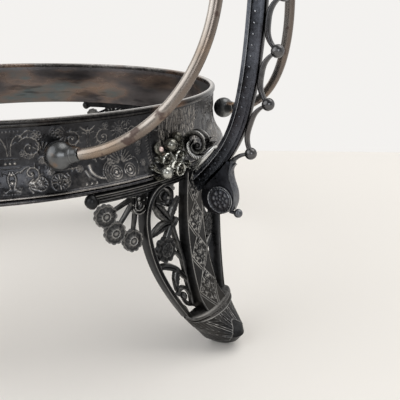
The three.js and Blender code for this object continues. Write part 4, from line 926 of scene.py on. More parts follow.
def make_toe(form):
    """The solid toe: veined leaves that meet at a shield on its nose, and a thin double moulding."""
    keys = np.array([
        [0.0, 78.5, 82.2, 1.6], [0.35, 77.9, 83.6, 2.3], [1.84, 76.9, 85.7, 3.9], [4.6, 75.7, 87.5, 5.6],
        [5.9, 75.4, 86.9, 6.6], [7.2, 75.2, 85.2, 7.8], [11.1, 73.8, 79.9, 10.3],
    ])
    heights = np.concatenate([[0.0, 0.12, 0.35], np.linspace(0.7, 11.1, 100)])
    back, front, half = (np.interp(heights, keys[:, 0], keys[:, i]) for i in (1, 2, 3))
    steps = 201
    rows = bowed_rows(np.stack([heights, back, back + 0.4, front, half], axis=1), steps)
    # Places on the front about the nose: leaves spread over most of a turn, beyond the shield's edge
    surface = rows[:, :steps]
    nose_height, leaves, spread = 4.4, 7, 2 * math.radians(112)
    aside = np.copysign(np.hypot(surface[..., 1], front[:, None] - surface[..., 0]), surface[..., 1])
    rise = 1.25 * (surface[..., 2] - nose_height)
    distance, angle = np.hypot(aside, rise), np.arctan2(aside, rise)
    cell = (angle * leaves / spread + 0.5) % 1 - 0.5
    leaf_width = distance * spread / leaves
    beyond = distance - 3.7 - 1.1 * ridge(angle, 0.35)
    in_leaf = np.clip(beyond / 0.2, 0, 1) * (np.abs(angle) < math.radians(125))
    inset = (0.5 - np.abs(cell)) * leaf_width
    edge, rim, midrib = ridge(inset, 0.14), ridge(inset - 0.34, 0.11), ridge(cell * leaf_width, 0.09)
    veins = np.clip(np.sin(2 * math.pi * (distance / 1.3 - 0.9 * np.abs(cell * leaf_width))), 0, 1) ** 3
    veins = veins * np.clip((distance - 5.0) / 2.0, 0.15, 1)
    shield = ridge(beyond, 0.12) * (np.abs(angle) < math.radians(118))
    level = in_leaf * (0.16 * rim + 0.10 * midrib + 0.07 * veins - 0.18 * edge) + 0.14 * shield
    outward = unit((surface - [rows[:, :, 0].min() - 6, 0, 12.0]) * [1, 1, 0.4])
    rows[:, :steps] += outward * (level * np.clip(heights / 1.2, 0, 1)[:, None])[..., None]
    shade = 0.24 + in_leaf * (0.50 * rim + 0.32 * midrib + 0.34 * veins - 0.2 * edge) + 0.5 * shield
    form.solid(rows, np.hstack([shade, np.full((len(heights), 3), 0.2)]))
    # Double moulding: a thin lower line, a groove and a broader flat band that the panel stands on
    # Its top levels, the flat cap, carry wear 0.5 and 0.45: painted light that lifts the ledge out of its
    # shade.
    up, out, wear = np.array([
        (0.0, -0.2, 0.1), (0.08, 0.25, 0.5), (0.20, 0.42, 0.80), (0.32, 0.25, 0.4), (0.42, -0.35, 0.0),
        (0.70, -0.35, 0.0), (0.80, 0.30, 0.35), (0.98, 0.52, 0.62), (1.30, 0.56, 0.50), (1.55, 0.44, 0.62),
        (1.66, 0.05, 0.5), (1.75, -1.2, 0.45),
    ]).T
    back, corner, slope = np.full(12, 74.6), np.full(12, 76.3), 1.36
    half = np.minimum(9.8 + 0.6 * up, 10.3) + 0.3 * out
    levels = np.stack([ANKLE_HEIGHT + up, back, corner, 79.9 + slope * (0.8 - up) + out, half], axis=1)
    form.solid(bowed_rows(levels, 41), wear[:, None])


def foot_top(form):
    """The bar under the collar with its lines, ending in an acorn ball on both sides."""
    reach, outer, depth = 31.2, 69.9, 2.0
    angles = np.linspace(-reach / outer, reach / outer, 90)[:, None]
    out, up = np.array([
        (0, 0), (0, -0.25), (-0.3, -0.45), (-0.05, -0.62), (-0.05, -0.92), (-0.32, -1.1), (-0.05, -1.28),
        (-0.05, -1.6), (-0.32, -1.8), (-0.1, -1.98), (-0.2, -2.3), (-depth, -2.3), (-depth, 0),
    ]).T
    shade = [0.35, 0.8, 0.0, 0.5, 0.5, 0.0, 0.45, 0.5, 0.0, 0.45, 0.35, 0.2, 0.2]
    form.solid(polar(outer + out, angles, LEG_HEIGHT + up), shade)
    along, radius, wear = np.array([
        (-1.7, 0.8, 0.2), (-1.3, 1.15, 0.5), (-1.05, 0.95, 0.05), (-0.85, 1.35, 0.25), (-0.1, 1.85, 0.3),
        (0.7, 1.75, 0.35), (1.35, 1.2, 0.35), (1.75, 0.5, 0.35), (1.85, 0.1, 0.35),
    ]).T[..., None]
    turn = full_turn(24)
    for side in (-1, 1):
        end = side * (reach + 0.6) / outer
        ball = np.broadcast_arrays(radius * np.cos(turn), side * along, radius * np.sin(turn))
        place = [outer - depth / 2, 0, LEG_HEIGHT - 1.7]
        form.solid(turned(np.stack(ball, axis=-1) + place, end), wear)


def make_feet():
    half, panel, foot = Form(), Form(), Form()
    foot_front(half)
    foot_fan(half)
    foot_panel(panel)
    foot.join(half, bend_foot)
    foot.join(half, lambda points: other_side(bend_foot(points)))
    foot.join(panel, bend_foot)
    make_toe(foot)
    foot_top(foot)
    body, edge, patch = (0.042, 0.043, 0.045), (0.52, 0.51, 0.49), (0.062, 0.057, 0.050)
    cast = tarnished("foot_casting", body, edge, patch, rough=0.38)
    for k, side in enumerate(("right", "back", "left", "front")):
        one = foot.changed(lambda points: turned(points, k * math.pi / 2))
        settle(one.make(f"pierced_foot_{side}", cast), "cast_silver", f"foot_{side}")


# Handle


def handle_points():
    """The handle's middle line in its plane, from the left root over the top to the right root."""
    root = np.array([FOOT_RADIUS - 0.6, LEG_HEIGHT - 5.3])
    upright, leave = FOOT_RADIUS + BAR_OUT, math.radians(47)
    root_pull, shoulder_pull = 20.9, 62.3
    side = bezier([
        root, root + root_pull * np.array([math.cos(leave), math.sin(leave)]),
        (upright, SHOULDER_HEIGHT - shoulder_pull), (upright, SHOULDER_HEIGHT),
    ], 400)
    angle = np.linspace(math.pi, 0, 900)[1:-1]
    rise = (HANDLE_HEIGHT - SHOULDER_HEIGHT) * np.sin(angle)
    arch = np.column_stack([upright * np.cos(angle), SHOULDER_HEIGHT + rise])
    return np.concatenate([side * [-1, 1], arch, side[::-1]])


def in_plane(flat, y=0.0):
    """Points in space from [x, z] pairs."""
    return np.insert(flat, 1, y, axis=1)


class Rail:
    """The handle's line by shares of its length."""

    def __init__(self):
        self.points = handle_points()
        steps = np.linalg.norm(np.diff(self.points, axis=0), axis=1)
        travelled = np.append(0, np.cumsum(steps))
        self.length = travelled[-1]
        self.shares = travelled / self.length

    def at(self, share):
        return np.stack([np.interp(share, self.shares, self.points[:, i]) for i in (0, 1)], axis=-1)

    def tangent(self, share):
        step = 1e-3
        return unit(self.at(np.clip(share + step, 0, 1)) - self.at(np.clip(share - step, 0, 1)))

    def frames(self, share):
        """Points and outward directions."""
        return in_plane(self.at(share)), in_plane(self.tangent(share)[:, ::-1] * [-1, 1])

    def falls_to(self, value, axis, beyond):
        """Share at which x (axis 0) or height (axis 1) falls to a value, beyond another share."""
        right = self.shares > beyond
        return float(np.interp(-value, -self.points[right, axis], self.shares[right]))

    def share_at_height(self, height):
        return self.falls_to(height, 1, 0.5)


RAIL = Rail()
FIRST_SWAG = RAIL.share_at_height(SWAG_START_HEIGHT)
SWAG_SHARE = (2 * FIRST_SWAG - 1) / SWAG_COUNT


def make_handle_bar():
    # The bar stops in front of the foot's surface
    last = RAIL.falls_to(FOOT_RADIUS + SEAT_GAP, 0, 0.9)
    half, face = BAR_WIDTH / 2, BAR_THICKNESS / 2
    # Inner flange with its bright line, the sunk channel and the darker outer flange
    outward, sideways, wear = np.array([
        (-half - 0.35, -0.35, 0.15), (-half - 0.25, -0.08, 0.55), (-half - 0.1, 0, 0.46),
        (-half + 0.62, 0, 0.44), (-half + 0.70, 0.06, 0.98), (-half + 0.78, 0, 0.50),
        (-half + 0.88, -0.35, 0.10), (half - 0.95, -0.35, 0.30), (half - 0.85, -0.05, 0.45),
        (half - 0.7, 0, 0.30), (half + 0.05, 0, 0.20), (half + 0.2, -0.2, 0.05),
    ]).T
    side = np.column_stack([outward, face + sideways])
    form = Form()
    section = np.concatenate([side, side[::-1] * [1, -1]])
    form.solid(sweep(*RAIL.frames(np.linspace(1 - last, last, 420)), section), np.append(wear, wear[::-1]))
    radius, pitch = sizes().bead_radius / MM, sizes().bead_pitch / MM
    count = int((2 * last - 1) * RAIL.length / pitch)
    line, out = RAIL.frames(np.linspace(1 - last, last, count + 2)[1:-1])
    towards_middle, sunk = 0.15, 0.33
    for point in line - towards_middle * out:
        shade = np.interp(point[2], [52, 72, 92], [0.30, 0.55, 0.85])
        for hand in (-1, 1):
            form.ball(radius, point + [0, hand * (face - sunk), 0], shade, 8, 5)
    body, edge, patch = (0.110, 0.120, 0.142), (0.52, 0.54, 0.57), (0.085, 0.078, 0.090)
    slate = tarnished("bar_silver", body, edge, patch, 0.35, 0.26)
    settle(form.make("beaded_bar", slate), "oxidised_silver", "handle_bar")


def knob_place():
    """Middle of the knob on the +X, +Y side and the direction of its neck."""
    height, climb, heading = LEG_HEIGHT + 10.2, math.radians(9), math.radians(-14)
    reach = sheet_radius(height) + SEAT_GAP + sizes().knob_radius / MM
    middle = polar(reach, KNOB_ANGLE, height)
    return middle, polar(math.cos(climb), heading, math.sin(climb))


def rod_line():
    """The back rod's middle line from knob to knob."""
    knob, neck = knob_place()
    start, lean = knob + ROD_START * neck, -0.2
    bend_share = RAIL.share_at_height(ROD_BEND_HEIGHT)
    clasp_share = RAIL.share_at_height(CLASP_HEIGHT)
    flat, tangent = RAIL.at(bend_share), RAIL.tangent(bend_share)
    bend = np.array([flat[0], ROD_BEND_SPREAD, flat[1]])
    rise = unit(np.array([-tangent[0] / abs(tangent[1]), lean, 1.0]))
    knob_pull, bend_pull = 12, 19
    lower = bezier([start, start + knob_pull * neck, bend - bend_pull * rise, bend], 60)
    # From the bend to the clasp the rod closes up to its place beside the bar
    beside = BAR_THICKNESS / 2 + SEAT_GAP + sizes().rod_radius / MM
    point = RAIL.at(np.linspace(bend_share, clasp_share, 60)[1:])
    climb = CLASP_HEIGHT - ROD_BEND_HEIGHT
    risen = np.clip((point[:, 1] - ROD_BEND_HEIGHT) / climb, 0, 1)
    closed = 3 * risen ** 2 - 2 * risen ** 3
    spread = ROD_BEND_SPREAD * (1 - closed) + beside * closed + lean * climb * risen * (1 - risen) ** 2
    right = np.concatenate([lower, in_plane(point, spread)])
    over = RAIL.at(np.linspace(clasp_share, 1 - clasp_share, 160)[1:-1])
    return np.concatenate([right, in_plane(over, beside), right[::-1] * [-1, 1, 1]])


def make_rods():
    line, turn = rod_line(), full_turn(20)
    ahead = tangents(line)
    outward = unit(np.cross([0, 1, 0], ahead))
    section = sizes().rod_radius / MM * np.stack([np.cos(turn), np.sin(turn)], axis=1)
    form, silver = Form(), rod_silver()
    # The wear runs from 0 on the rod's outer side to 1 on its inner side; rod_silver paints shade on the
    # outer side from it.
    form.solid(sweep(line, outward, section, np.cross(ahead, outward)), 0.5 - 0.5 * np.cos(turn))
    settle(form.make("round_rod_back", silver), "worn_silver", "rod_back")
    settle(form.changed(other_side).make("round_rod_front", silver), "worn_silver", "rod_front")


def make_knobs():
    radius = sizes().knob_radius / MM
    tilts = np.radians(np.linspace(-90, 40, 17))[1:]
    profile = np.array([
        (0.02, -radius, 0.5), *((radius * math.cos(tilt), radius * math.sin(tilt), 0.5) for tilt in tilts),
        (2.25, 2.5, 0.4), (2.1, 2.8, 0.35), (2.0, 3.1, 0.45), (1.9, 3.3, 0.2), (1.93, 3.45, 0.6),
        (1.85, 3.65, 0.4), (1.74, 4.1, 0.45), (1.62, 4.6, 0.5), (1.55, 4.9, 0.6), (1.4, 5.05, 0.4),
        (0.02, 5.05, 0.5),
    ])
    form, silver = Form(), knob_silver()
    form.grid(lathe(profile[:, :2], 40), profile[:, 2], along=True)
    middle, neck = knob_place()
    turn = np.array(Vector((0, 0, 1)).rotation_difference(Vector(neck)).to_matrix()).T
    for end, x in (("right", 1), ("left", -1)):
        for side, y in (("back", 1), ("front", -1)):
            knob = form.changed(lambda points: (points @ turn + middle) * [x, y, 1])
            settle(knob.make(f"ball_knob_{end}_{side}", silver), "worn_silver", f"knob_{end}_{side}")


def make_edging():
    touch = (BAR_WIDTH + EDGING_WIDTH) / 2 + SEAT_GAP
    metal = tarnished("edging_silver", (0.070, 0.072, 0.078), (0.40, 0.39, 0.38), (0.115, 0.098, 0.090))
    # One ball, with a groove round its middle in the handle's plane
    radius, tilt = sizes().ball_radius / MM, np.linspace(-math.pi / 2 + 0.02, math.pi / 2 - 0.02, 17)
    girth, wear, groove = radius * np.cos(tilt), np.full(17, 0.55), 8
    girth[groove] -= 0.06
    wear[groove] = 0.2
    ball = lathe(np.stack([girth, radius * np.sin(tilt)], axis=1), 20)[..., [0, 2, 1]]
    # Both halves meet at the ball on the handle's top, which the right one has
    swags = SWAG_COUNT // 2
    reach = np.linspace(-0.45, swags, 20 * swags + 10)
    for end, hand, steps, balls in (("right", 1, reach, swags + 1), ("left", -1, reach[:-3], swags)):
        line, outward = RAIL.frames(FIRST_SWAG - steps * SWAG_SHARE)
        swing = np.abs(2 * np.where(steps < 0, -steps, steps % 1) - 1) ** 3
        line = line + (touch + (BALL_OUT - touch) * swing)[:, None] * outward
        form = Form()
        form.solid(sweep(line, outward, rounded_box(EDGING_WIDTH, 1.7, 0.5)), 0.45)
        middle, outward = RAIL.frames(FIRST_SWAG - np.arange(balls) * SWAG_SHARE)
        for centre in middle + BALL_OUT * outward:
            form.grid(ball + centre, wear, along=True)
        form = form.changed(lambda points: points * [hand, 1, 1])
        settle(form.make(f"ball_edging_{end}", metal), "oxidised_silver", f"edging_{end}")


# Root of the handle


def on_side(side, centre, stand=0.0):
    """What carries a flat front to one side of the handle's plane, about a centre."""
    return lambda points: (points + [stand, 0, 0])[..., [1, 0, 2]] * [1, side, 1] + centre


def plate_outline():
    """Outline of the terminal plate about its rosette, in the handle's plane."""
    ends = [(4.3, 10.2), (3.6, 4.9), (3.5, -2.8), (-4.5, -3.1), (-4.7, 3.1), (0.3, 9.2), (2.0, 11.4)]
    pulls = [(2.6, 8.4), (5.4, 0.5), (-1.0, -6.1), (-6.4, -0.1), (-3.4, 6.2), (1.0, 10.2)]
    return np.concatenate([bezier(curve, 10, closed=False) for curve in zip(ends, pulls, ends[1:])])


def medallion_surface(share, angle):
    rim = ridge(share - 0.94, 0.035) + 0.8 * ridge(share - 0.80, 0.025)
    beads = ridge(share - 0.87, 0.03) * np.clip(np.cos(22 * angle), 0, 1)
    petal = np.abs(np.cos(4 * angle)) * ridge(share - 0.52, 0.13)
    small = np.abs(np.cos(2.5 * angle + 0.4)) * ridge(share - 0.26, 0.08)
    centre = ridge(share, 0.09)
    height = 0.30 + 0.40 * rim + 0.3 * beads + 0.3 * petal + 0.25 * small + 0.35 * centre
    return height, 0.14 + 0.85 * rim + 0.3 * beads + 0.45 * petal + 0.35 * small + 0.4 * centre


def make_terminal_plates():
    centre = np.array([FOOT_RADIUS + 7.9, 0, LEG_HEIGHT - 6.8])
    outline, form = plate_outline(), Form()
    level = [(-1.05, 0.35, 0.25), (-0.8, 0.08, 0.65), (-0.5, 0, 0.4)]
    y, shrink, wear = np.array(level + [(-y, *rest) for y, *rest in reversed(level)]).T[..., None]
    inner = outline - shrink[..., None] * unit(outline)
    form.solid(np.stack(np.broadcast_arrays(inner[..., 0], y, inner[..., 1]), axis=-1) + centre, wear)
    for side in (-1, 1):
        plane = on_side(side, centre)
        rosette(form, (0.7, 0.1), 3.8, 1.0, 0.95, medallion_surface, rings=34, spokes=110, plane=plane)
    # The strip that runs on from the edging's tail as the plate's outer border
    border = [(3.6, 11.2), (3.3, 9.6), (3.0, 8.0), (3.5, 5.6), (4.6, 2.8), (4.8, 0.2), (4.1, -2.2)]
    line = in_plane(spline(border, 40)) + centre
    form.solid(sweep(line, np.cross([0, 1, 0], tangents(line)), rounded_box(0.9, 2.5, 0.35)), 0.52)
    stem = np.array([[3.2, 0, -3.1], [4.0, 0, -3.15], [5.0, 0, -3.1]]) + centre
    form.solid(sweep(stem, (0, 0, 1), rounded_box(0.8, 1.0, 0.3)), 0.4)
    form.ball(1.2, centre + [5.6, 0, -3.1], 0.55, 20, 12)
    body, edge, patch = (0.050, 0.054, 0.066), (0.58, 0.60, 0.62), (0.066, 0.060, 0.064)
    metal = tarnished("plate_silver", body, edge, patch, rough=0.34)
    settle_both(form, "rosette_plate", "terminal_plate", metal)


def crescent_blade(form):
    """The light striped leaf that sweeps round inside the volute and out under it towards the bar."""
    share = np.linspace(0, 1, 90)[:, None]
    angles = np.radians(145 + 195 * share)
    half = (0.42 + 0.55 * share) * np.clip(np.sin(math.pi * (share * 0.9 + 0.06)), 0, 1) ** 0.6
    across = np.linspace(-1, 1, 13)
    reach = 1.75 + 2.5 * share ** 1.3 + half * across
    ridges = np.cos(2 * math.pi * (share * 22 + 0.5 * across))
    depth = 0.75 + 0.35 * (1 - across ** 2) + 0.07 * ridges
    wear = 0.80 + 0.20 * ridges * (np.abs(across) < 0.8) + 0.3 * (across > 0.8)
    rows = np.stack([depth, reach * np.cos(angles), reach * np.sin(angles)], axis=-1)
    back = rows[:, [-1, 0]] * [0, 1, 1]
    form.solid(np.hstack([rows, back]), np.hstack([wear, np.full((90, 2), 0.2)]))


def make_scrolls():
    height, stand = LEG_HEIGHT + 6.9, 5.45
    centre = np.array([sheet_radius(height) + stand, 0, height])
    share = np.linspace(0, 1, 110)
    angle = np.radians(235 - 430 * share)
    out = in_plane(np.stack([np.cos(angle), np.sin(angle)], axis=1))
    line = centre + np.interp(share, [0, 0.45, 0.62, 1], [3.5, 3.1, 2.2, 0.75])[:, None] * out
    line[:, 0] = np.maximum(line[:, 0], sheet_radius(line[:, 2]) + SEAT_GAP + 0.5)
    width = np.interp(share, [0, 0.15, 0.5, 1], [0.5, 1.5, 1.3, 0.6])
    breadth = np.interp(share, [0, 0.2, 0.45, 1], [1.2, 2.4, 2.6, 1.6])
    section = np.array([
        (0.5, -0.5), (0.55, -0.3), (0.3, -0.12), (0.3, 0.12), (0.55, 0.3), (0.5, 0.5), (-0.4, 0.5),
        (-0.5, 0.35), (-0.5, -0.35), (-0.4, -0.5),
    ]) * np.stack([width, breadth], axis=1)[:, None]
    form, leaf, tips = Form(), Form(), Form()
    form.solid(sweep(line, out, section), [0.95, 0.4, 0.1, 0.1, 0.4, 0.95, 0.12, 0.1, 0.1, 0.12])
    form.ball(0.8, centre + [0.2, 0, -0.2], 0.3, 18, 10)
    # Striped crescent inside the volute and dark leaf tips towards the bar, on both sides
    crescent_blade(leaf)
    blade(tips, [(1.6, 1.2), (3.0, 1.6), (4.2, 2.4)], [0.2, 0.8, 0.8, 0.4, 0.1], -0.5, 0.9, 0.4, 20)
    blade(tips, [(1.8, -0.2), (3.6, 0.4), (5.4, 1.4)], [0.2, 0.7, 0.7, 0.1], -0.5, 0.9, 0.4, 20)
    for side in (-1, 1):
        form.join(leaf, on_side(side, centre, 0.7))
        form.join(tips, on_side(side, centre, 0.7), lambda wear: wear * 0.5)
    # Long leaf that climbs along the bar's inner edge to the crescent
    first, last = (RAIL.share_at_height(LEG_HEIGHT + up) for up in (-3.4, 5.4))
    stem, outward = RAIL.frames(np.linspace(first, last, len(share)))
    share = share[:, None]
    girth = np.sin(math.pi * (0.06 + 0.86 * share)) ** 0.6
    ridges = 0.88 + 0.12 * np.cos(2 * math.pi * 26 * share)
    section = rounded_box(1.6, 4.2, 0.5) * girth[..., None]
    form.solid(sweep(stem - (3.5 - 0.5 * share) * outward, outward, section), ridges)
    metal = tarnished("scroll_silver", (0.060, 0.058, 0.056), (0.74, 0.74, 0.72), (0.08, 0.065, 0.052), 0.3)
    settle_both(form, "volute", "scroll", metal)


def make_clasps():
    swag = round((FIRST_SWAG - RAIL.share_at_height(CLASP_HEIGHT)) / SWAG_SHARE) + 1
    rod, side_wall, edge_wall = 2 * sizes().rod_radius / MM, 1.3, 1.0
    across = BAR_THICKNESS / 2 + 2 * SEAT_GAP + rod + side_wall
    out = BAR_WIDTH / 2 + SEAT_GAP + edge_wall
    half = [(-1.6, -0.35, 0.4), (-1.5, -0.1, 0.8), (-1.1, 0.0, 0.9), (-0.8, -0.25, 0.0), (-0.5, -0.1, 0.5)]
    along, growth, wear = np.array(half + [(-step, *rest) for step, *rest in reversed(half)]).T
    section = [rounded_box(2 * (out + grown), 2 * (across + grown), 1.1, 5) for grown in growth]
    form = Form()
    line, outward = RAIL.frames(FIRST_SWAG - swag * SWAG_SHARE + along / RAIL.length)
    form.solid(sweep(line, outward, section), wear[:, None])
    metal = tarnished("clasp_silver", (0.045, 0.044, 0.044), (0.36, 0.34, 0.31), colours().warm)
    settle_both(form, "rod_clasp", "clasp", metal)


def cup_surface(share, angle):
    """A ringed bloom: a bright smooth rim about a dark cup with five light petals."""
    rim = ridge(share - 0.88, 0.11)
    inner = np.abs(np.cos(2.5 * angle)) * ridge(share - 0.45, 0.15)
    return 0.56 + 0.26 * rim + 0.12 * inner + 0.06 * ridge(share, 0.12), 0.08 + 1.1 * rim + 0.6 * inner


def leafy_surface(share, angle):
    ripple = np.cos(5 * angle + 5 * share) * share
    return 0.45 + 0.2 * ripple, 0.30 + 0.4 * ripple + 0.25 * (share > 0.85)


def collar_reach(height):
    """Radius at which a small piece stands clear of the collar's sheet or of its lower moulding."""
    moulding = COLLAR_RADIUS + FLARE_OUT + 0.8
    return SEAT_GAP + np.where(height < MOULDING_TOP + 0.4, moulding, sheet_radius(height))


def onto_collar(points):
    reach = collar_reach(points[:, 2]) + points[:, 0]
    return polar(reach, -points[:, 1] / reach, points[:, 2])


def collar_place(degrees, height, stand):
    return polar(collar_reach(height) + stand, -math.radians(degrees), height)


def make_blossoms():
    form, dull, bright = Form(), Form(), Form()
    # Berries with a dimpled skin, and a small bud whose pale pink colour is a painted highlight
    ball = sphere(1, (0, 0, 0), 30, 18)
    dimple = np.prod(np.sin(9 * ball + [1, 2, 0]), axis=-1)
    for degrees, height, radius, wear in (
        (5.0, 58.8, 1.75, 0.58), (2.5, 60.3, 1.5, 0.28), (9.5, 53.3, 1.7, 0.74),
    ):
        skin = ball * (radius * (1 + 0.03 * dimple))[..., None]
        form.solid(skin + collar_place(degrees, height, 0.75 * radius), wear + 0.14 * dimple)
    form.ball(0.8, collar_place(7.9, 58.2, 0.6), 1.0, 18, 10, slot=1)
    # Ringed blooms and round leaves: degrees, height, radius
    cups = ((7.2, 55.5, 2.0), (3.3, 55.4, 1.85), (5.1, 52.9, 1.85))
    leaves = (
        (9.2, 56.0, 1.0), (1.3, 57.6, 1.0), (7.6, 53.0, 1.0), (2.0, 53.2, 1.25), (11.3, 54.6, 0.9),
        (0.9, 55.4, 1.0),
    )
    for blooms, surface, notch in ((cups, cup_surface, 0.04), (leaves, leafy_surface, 0.25)):
        for degrees, height, radius in blooms:
            bloom = Form()
            rosette(bloom, (0, 0), radius, 0.0, 2.1, surface, 7, notch, 16, 60)
            place = collar_place(degrees, height, -0.2)
            form.join(bloom, lambda points: turned(points, -math.radians(degrees)) + place)
    # Leaves at the sprig's edge, and a Y of leaves between the blooms made bright as a painted highlight of
    # their rims
    for points, widths in (
        ([(9.6, 56.6), (10.2, 58.4), (9.6, 60.2)], [0.3, 0.7, 0.7, 0.15]),
        ([(11.4, 52.8), (12.8, 53.6), (13.6, 54.8)], [0.3, 0.7, 0.15]),
        ([(12.0, 51.6), (13.6, 52.0), (15.0, 52.9)], [0.3, 0.6, 0.15]),
        ([(1.6, 56.6), (0.6, 57.6), (0.4, 58.8)], [0.3, 0.6, 0.15]),
    ):
        blade(dull, points, widths, 0.0, 0.9, 0.4, 18, ribs=4)
    for points in ([(6.9, 57.4), (6.4, 56.2), (6.0, 54.6)], [(6.0, 54.8), (7.2, 54.2), (8.4, 53.6)],
                   [(6.0, 54.8), (5.0, 54.2), (3.6, 53.9)]):
        blade(bright, points, [0.3, 0.55, 0.3], 0.9, 0.7, 0.0, 14)
    form.join(dull, onto_collar, lambda wear: wear * 0.7)
    # Painted highlight: the Y of leaves between the blooms gets 0.32 more wear.
    form.join(bright, onto_collar, lambda wear: wear + 0.32)
    metal = tarnished("blossom_silver", (0.15, 0.146, 0.122), (0.68, 0.69, 0.65), (0.17, 0.12, 0.10))
    # The bud's pale pink colour is a painted highlight.
    pink = tarnished("pink_bud_painted_highlight", (0.62, 0.42, 0.38), (0.90, 0.72, 0.68), (0.70, 0.60, 0.58), 0.5, 0.5)
    settle_both(form, "berries", "blossoms", metal, pink)


# Studio, in metres


def table_paint():
    finish, tint = Finish("table_paint", roughness=0.75), colours().table
    # Painted reflections and shadow streaks: noise clouds of a warmer tone on the pale table.
    cloud = finish.noise(3.0, 2).band(0.3, 0.7) * 0.35
    finish.feed("Principled BSDF", "Base Color", finish.mix(cloud, tint, blend(tint, (0.9, 0.86, 0.82), 0.5)))
    return finish.material


def make_table():
    """A pale table top whose far edge is square to the view, and nothing but white beyond it."""
    under_eye = Vector((EYE.x, EYE.y, 0))
    far, near, half_width, thickness = 0.336, -1.4, 1.1, 0.03
    top = [under_eye + SIGHT * along + ACROSS * side * half_width
           for along, side in ((far, -1), (far, 1), (near, 1), (near, -1))]
    bottom = [corner - Vector((0, 0, thickness)) for corner in top]
    mesh = bpy.data.meshes.new("table_top")
    mesh.from_pydata(top + bottom, [], [
        (3, 2, 1, 0), (0, 1, 5, 4), (1, 2, 6, 5), (2, 3, 7, 6), (3, 0, 4, 7), (4, 5, 6, 7),
    ])
    table = bpy.data.objects.new("table_top", mesh)
    bpy.context.scene.collection.objects.link(table)
    mesh.materials.append(table_paint())


def add_lamp(name, place, aim, size, power, tint):
    data = bpy.data.lights.new(name, "AREA")
    data.shape, data.size, data.energy, data.color = "DISK", size, power, tint
    lamp = bpy.data.objects.new(name, data)
    lamp.location = place
    lamp.rotation_euler = (Vector(aim) - Vector(place)).to_track_quat("-Z", "Y").to_euler()
    bpy.context.scene.collection.objects.link(lamp)


def make_world():
    """A white room behind the object, darker above and behind the camera, for the metal to reflect."""
    world = bpy.data.worlds.new("studio")
    bpy.context.scene.world = world
    world.use_nodes = True
    room = Nodes(world.node_tree)
    way = room.node("ShaderNodeTexCoord")
    up = room.node("ShaderNodeSeparateXYZ", inputs={0: way}, output=2)
    ahead = room.node("ShaderNodeVectorMath", {"operation": "DOT_PRODUCT"}, {0: way, 1: SIGHT}, 1)
    room.feed("Background", "Strength", up.band(0.30, 0.80, 1.0, 0.42) * ahead.band(-0.75, 0.10, 0.40, 1.0))
    room.tree.nodes["Background"].inputs["Color"].default_value = (0.90, 0.885, 0.865, 1)


def make_camera():
    """The photograph's viewpoint: close, from the front right, looking down by 21 degrees."""
    data = bpy.data.cameras.new("camera")
    data.sensor_width, data.lens, data.clip_start = 36, 43.2, 0.005
    camera = bpy.data.objects.new("camera", data)
    camera.location = EYE + Vector((0, 0, RIM_TOP * MM))
    pitch, roll = math.radians(20.97), math.radians(0.69)
    forward = SIGHT * math.cos(pitch) + Vector((0, 0, -math.sin(pitch)))
    up = ACROSS.cross(forward)
    right, up = ACROSS * math.cos(roll) + up * math.sin(roll), up * math.cos(roll) - ACROSS * math.sin(roll)
    camera.rotation_euler = Matrix((right, up, -forward)).transposed().to_euler()
    bpy.context.scene.collection.objects.link(camera)
    bpy.context.scene.camera = camera


def make_stage():
    bpy.context.scene.view_settings.view_transform = "Standard"
    make_world()
    make_table()
    add_lamp("key", (0.25, 0.35, 0.85), (0, 0, 0.08), 0.9, 4.5, (1, 0.98, 0.95))
    add_lamp("fill", (0.75, -0.75, 0.45), (0.03, 0, 0.06), 0.5, 2.0, (0.95, 0.97, 1))
    add_lamp("left", (-0.45, -0.75, 0.60), (0, -0.05, 0), 1.3, 5.8, (0.97, 0.98, 1))
    make_camera()


# Operators


class PieceOperator:
    """What every operator here shares: it makes its pieces and reports that it is done."""

    bl_options = {"REGISTER", "UNDO"}

    def execute(self, context):
        for make in self.makers:
            make()
        return {"FINISHED"}


class BASKET_OT_stage(PieceOperator, bpy.types.Operator):
    """Make the table, the light and the camera"""

    bl_idname = "basket.stage"
    bl_label = "Studio"
    makers = (make_stage,)


class BASKET_OT_collar(PieceOperator, bpy.types.Operator):
    """Make the collar's sheet with its rolled ornament"""

    bl_idname = "basket.collar"
    bl_label = "Collar"
    makers = (make_collar,)


class BASKET_OT_edges(PieceOperator, bpy.types.Operator):
    """Make the collar's rim wire and its lower moulding"""

    bl_idname = "basket.edges"
    bl_label = "Rim and Moulding"
    makers = (make_rim_wire, make_lower_moulding)


class BASKET_OT_feet(PieceOperator, bpy.types.Operator):
    """Make the four pierced feet with their fans"""

    bl_idname = "basket.feet"
    bl_label = "Feet"
    makers = (make_feet,)


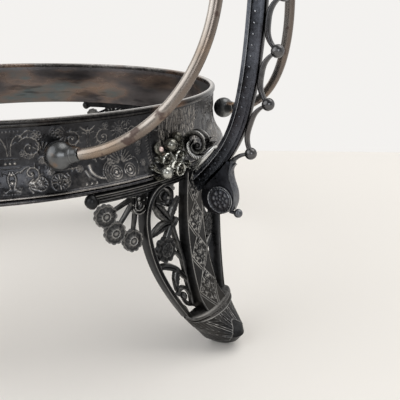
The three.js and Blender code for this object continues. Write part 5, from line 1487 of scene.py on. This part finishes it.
class BASKET_OT_handle(PieceOperator, bpy.types.Operator):
    """Make the beaded bar of the handle"""

    bl_idname = "basket.handle"
    bl_label = "Handle Bar"
    makers = (make_handle_bar,)


class BASKET_OT_rods(PieceOperator, bpy.types.Operator):
    """Make both round rods and their four knobs"""

    bl_idname = "basket.rods"
    bl_label = "Rods and Knobs"
    makers = (make_rods, make_knobs)


class BASKET_OT_edging(PieceOperator, bpy.types.Operator):
    """Make the swinging edging with its small balls"""

    bl_idname = "basket.edging"
    bl_label = "Ball Edging"
    makers = (make_edging,)


class BASKET_OT_roots(PieceOperator, bpy.types.Operator):
    """Make the terminal plates, volutes, clasps and berries"""

    bl_idname = "basket.roots"
    bl_label = "Root Ornaments"
    makers = (make_terminal_plates, make_scrolls, make_clasps, make_blossoms)


OPERATORS = (
    BASKET_OT_stage, BASKET_OT_collar, BASKET_OT_edges, BASKET_OT_feet, BASKET_OT_handle, BASKET_OT_rods,
    BASKET_OT_edging, BASKET_OT_roots,
)


class BASKET_PT_panel(bpy.types.Panel):
    """Lists the basket's makers, sizes and colours"""

    bl_idname = "BASKET_PT_panel"
    bl_label = "Bride's Basket"
    bl_space_type = "VIEW_3D"
    bl_region_type = "UI"
    bl_category = "Basket"

    def draw(self, context):
        for operator in OPERATORS:
            self.layout.operator(operator.bl_idname)
        for group in (sizes(), colours()):
            box = self.layout.box()
            for name in group.__annotations__:
                box.prop(group, name)


CLASSES = (BasketSizes, BasketColours, *OPERATORS, BASKET_PT_panel)


def register():
    for each in CLASSES:
        bpy.utils.register_class(each)
    bpy.types.Scene.basket_sizes = PointerProperty(type=BasketSizes)
    bpy.types.Scene.basket_colours = PointerProperty(type=BasketColours)


def unregister():
    del bpy.types.Scene.basket_colours
    del bpy.types.Scene.basket_sizes
    for each in reversed(CLASSES):
        bpy.utils.unregister_class(each)


def main():
    register()
    bpy.ops.basket.stage()
    bpy.ops.basket.collar()
    bpy.ops.basket.edges()
    bpy.ops.basket.feet()
    bpy.ops.basket.handle()
    bpy.ops.basket.rods()
    bpy.ops.basket.edging()
    bpy.ops.basket.roots()


if __name__ == "__main__":
    main()
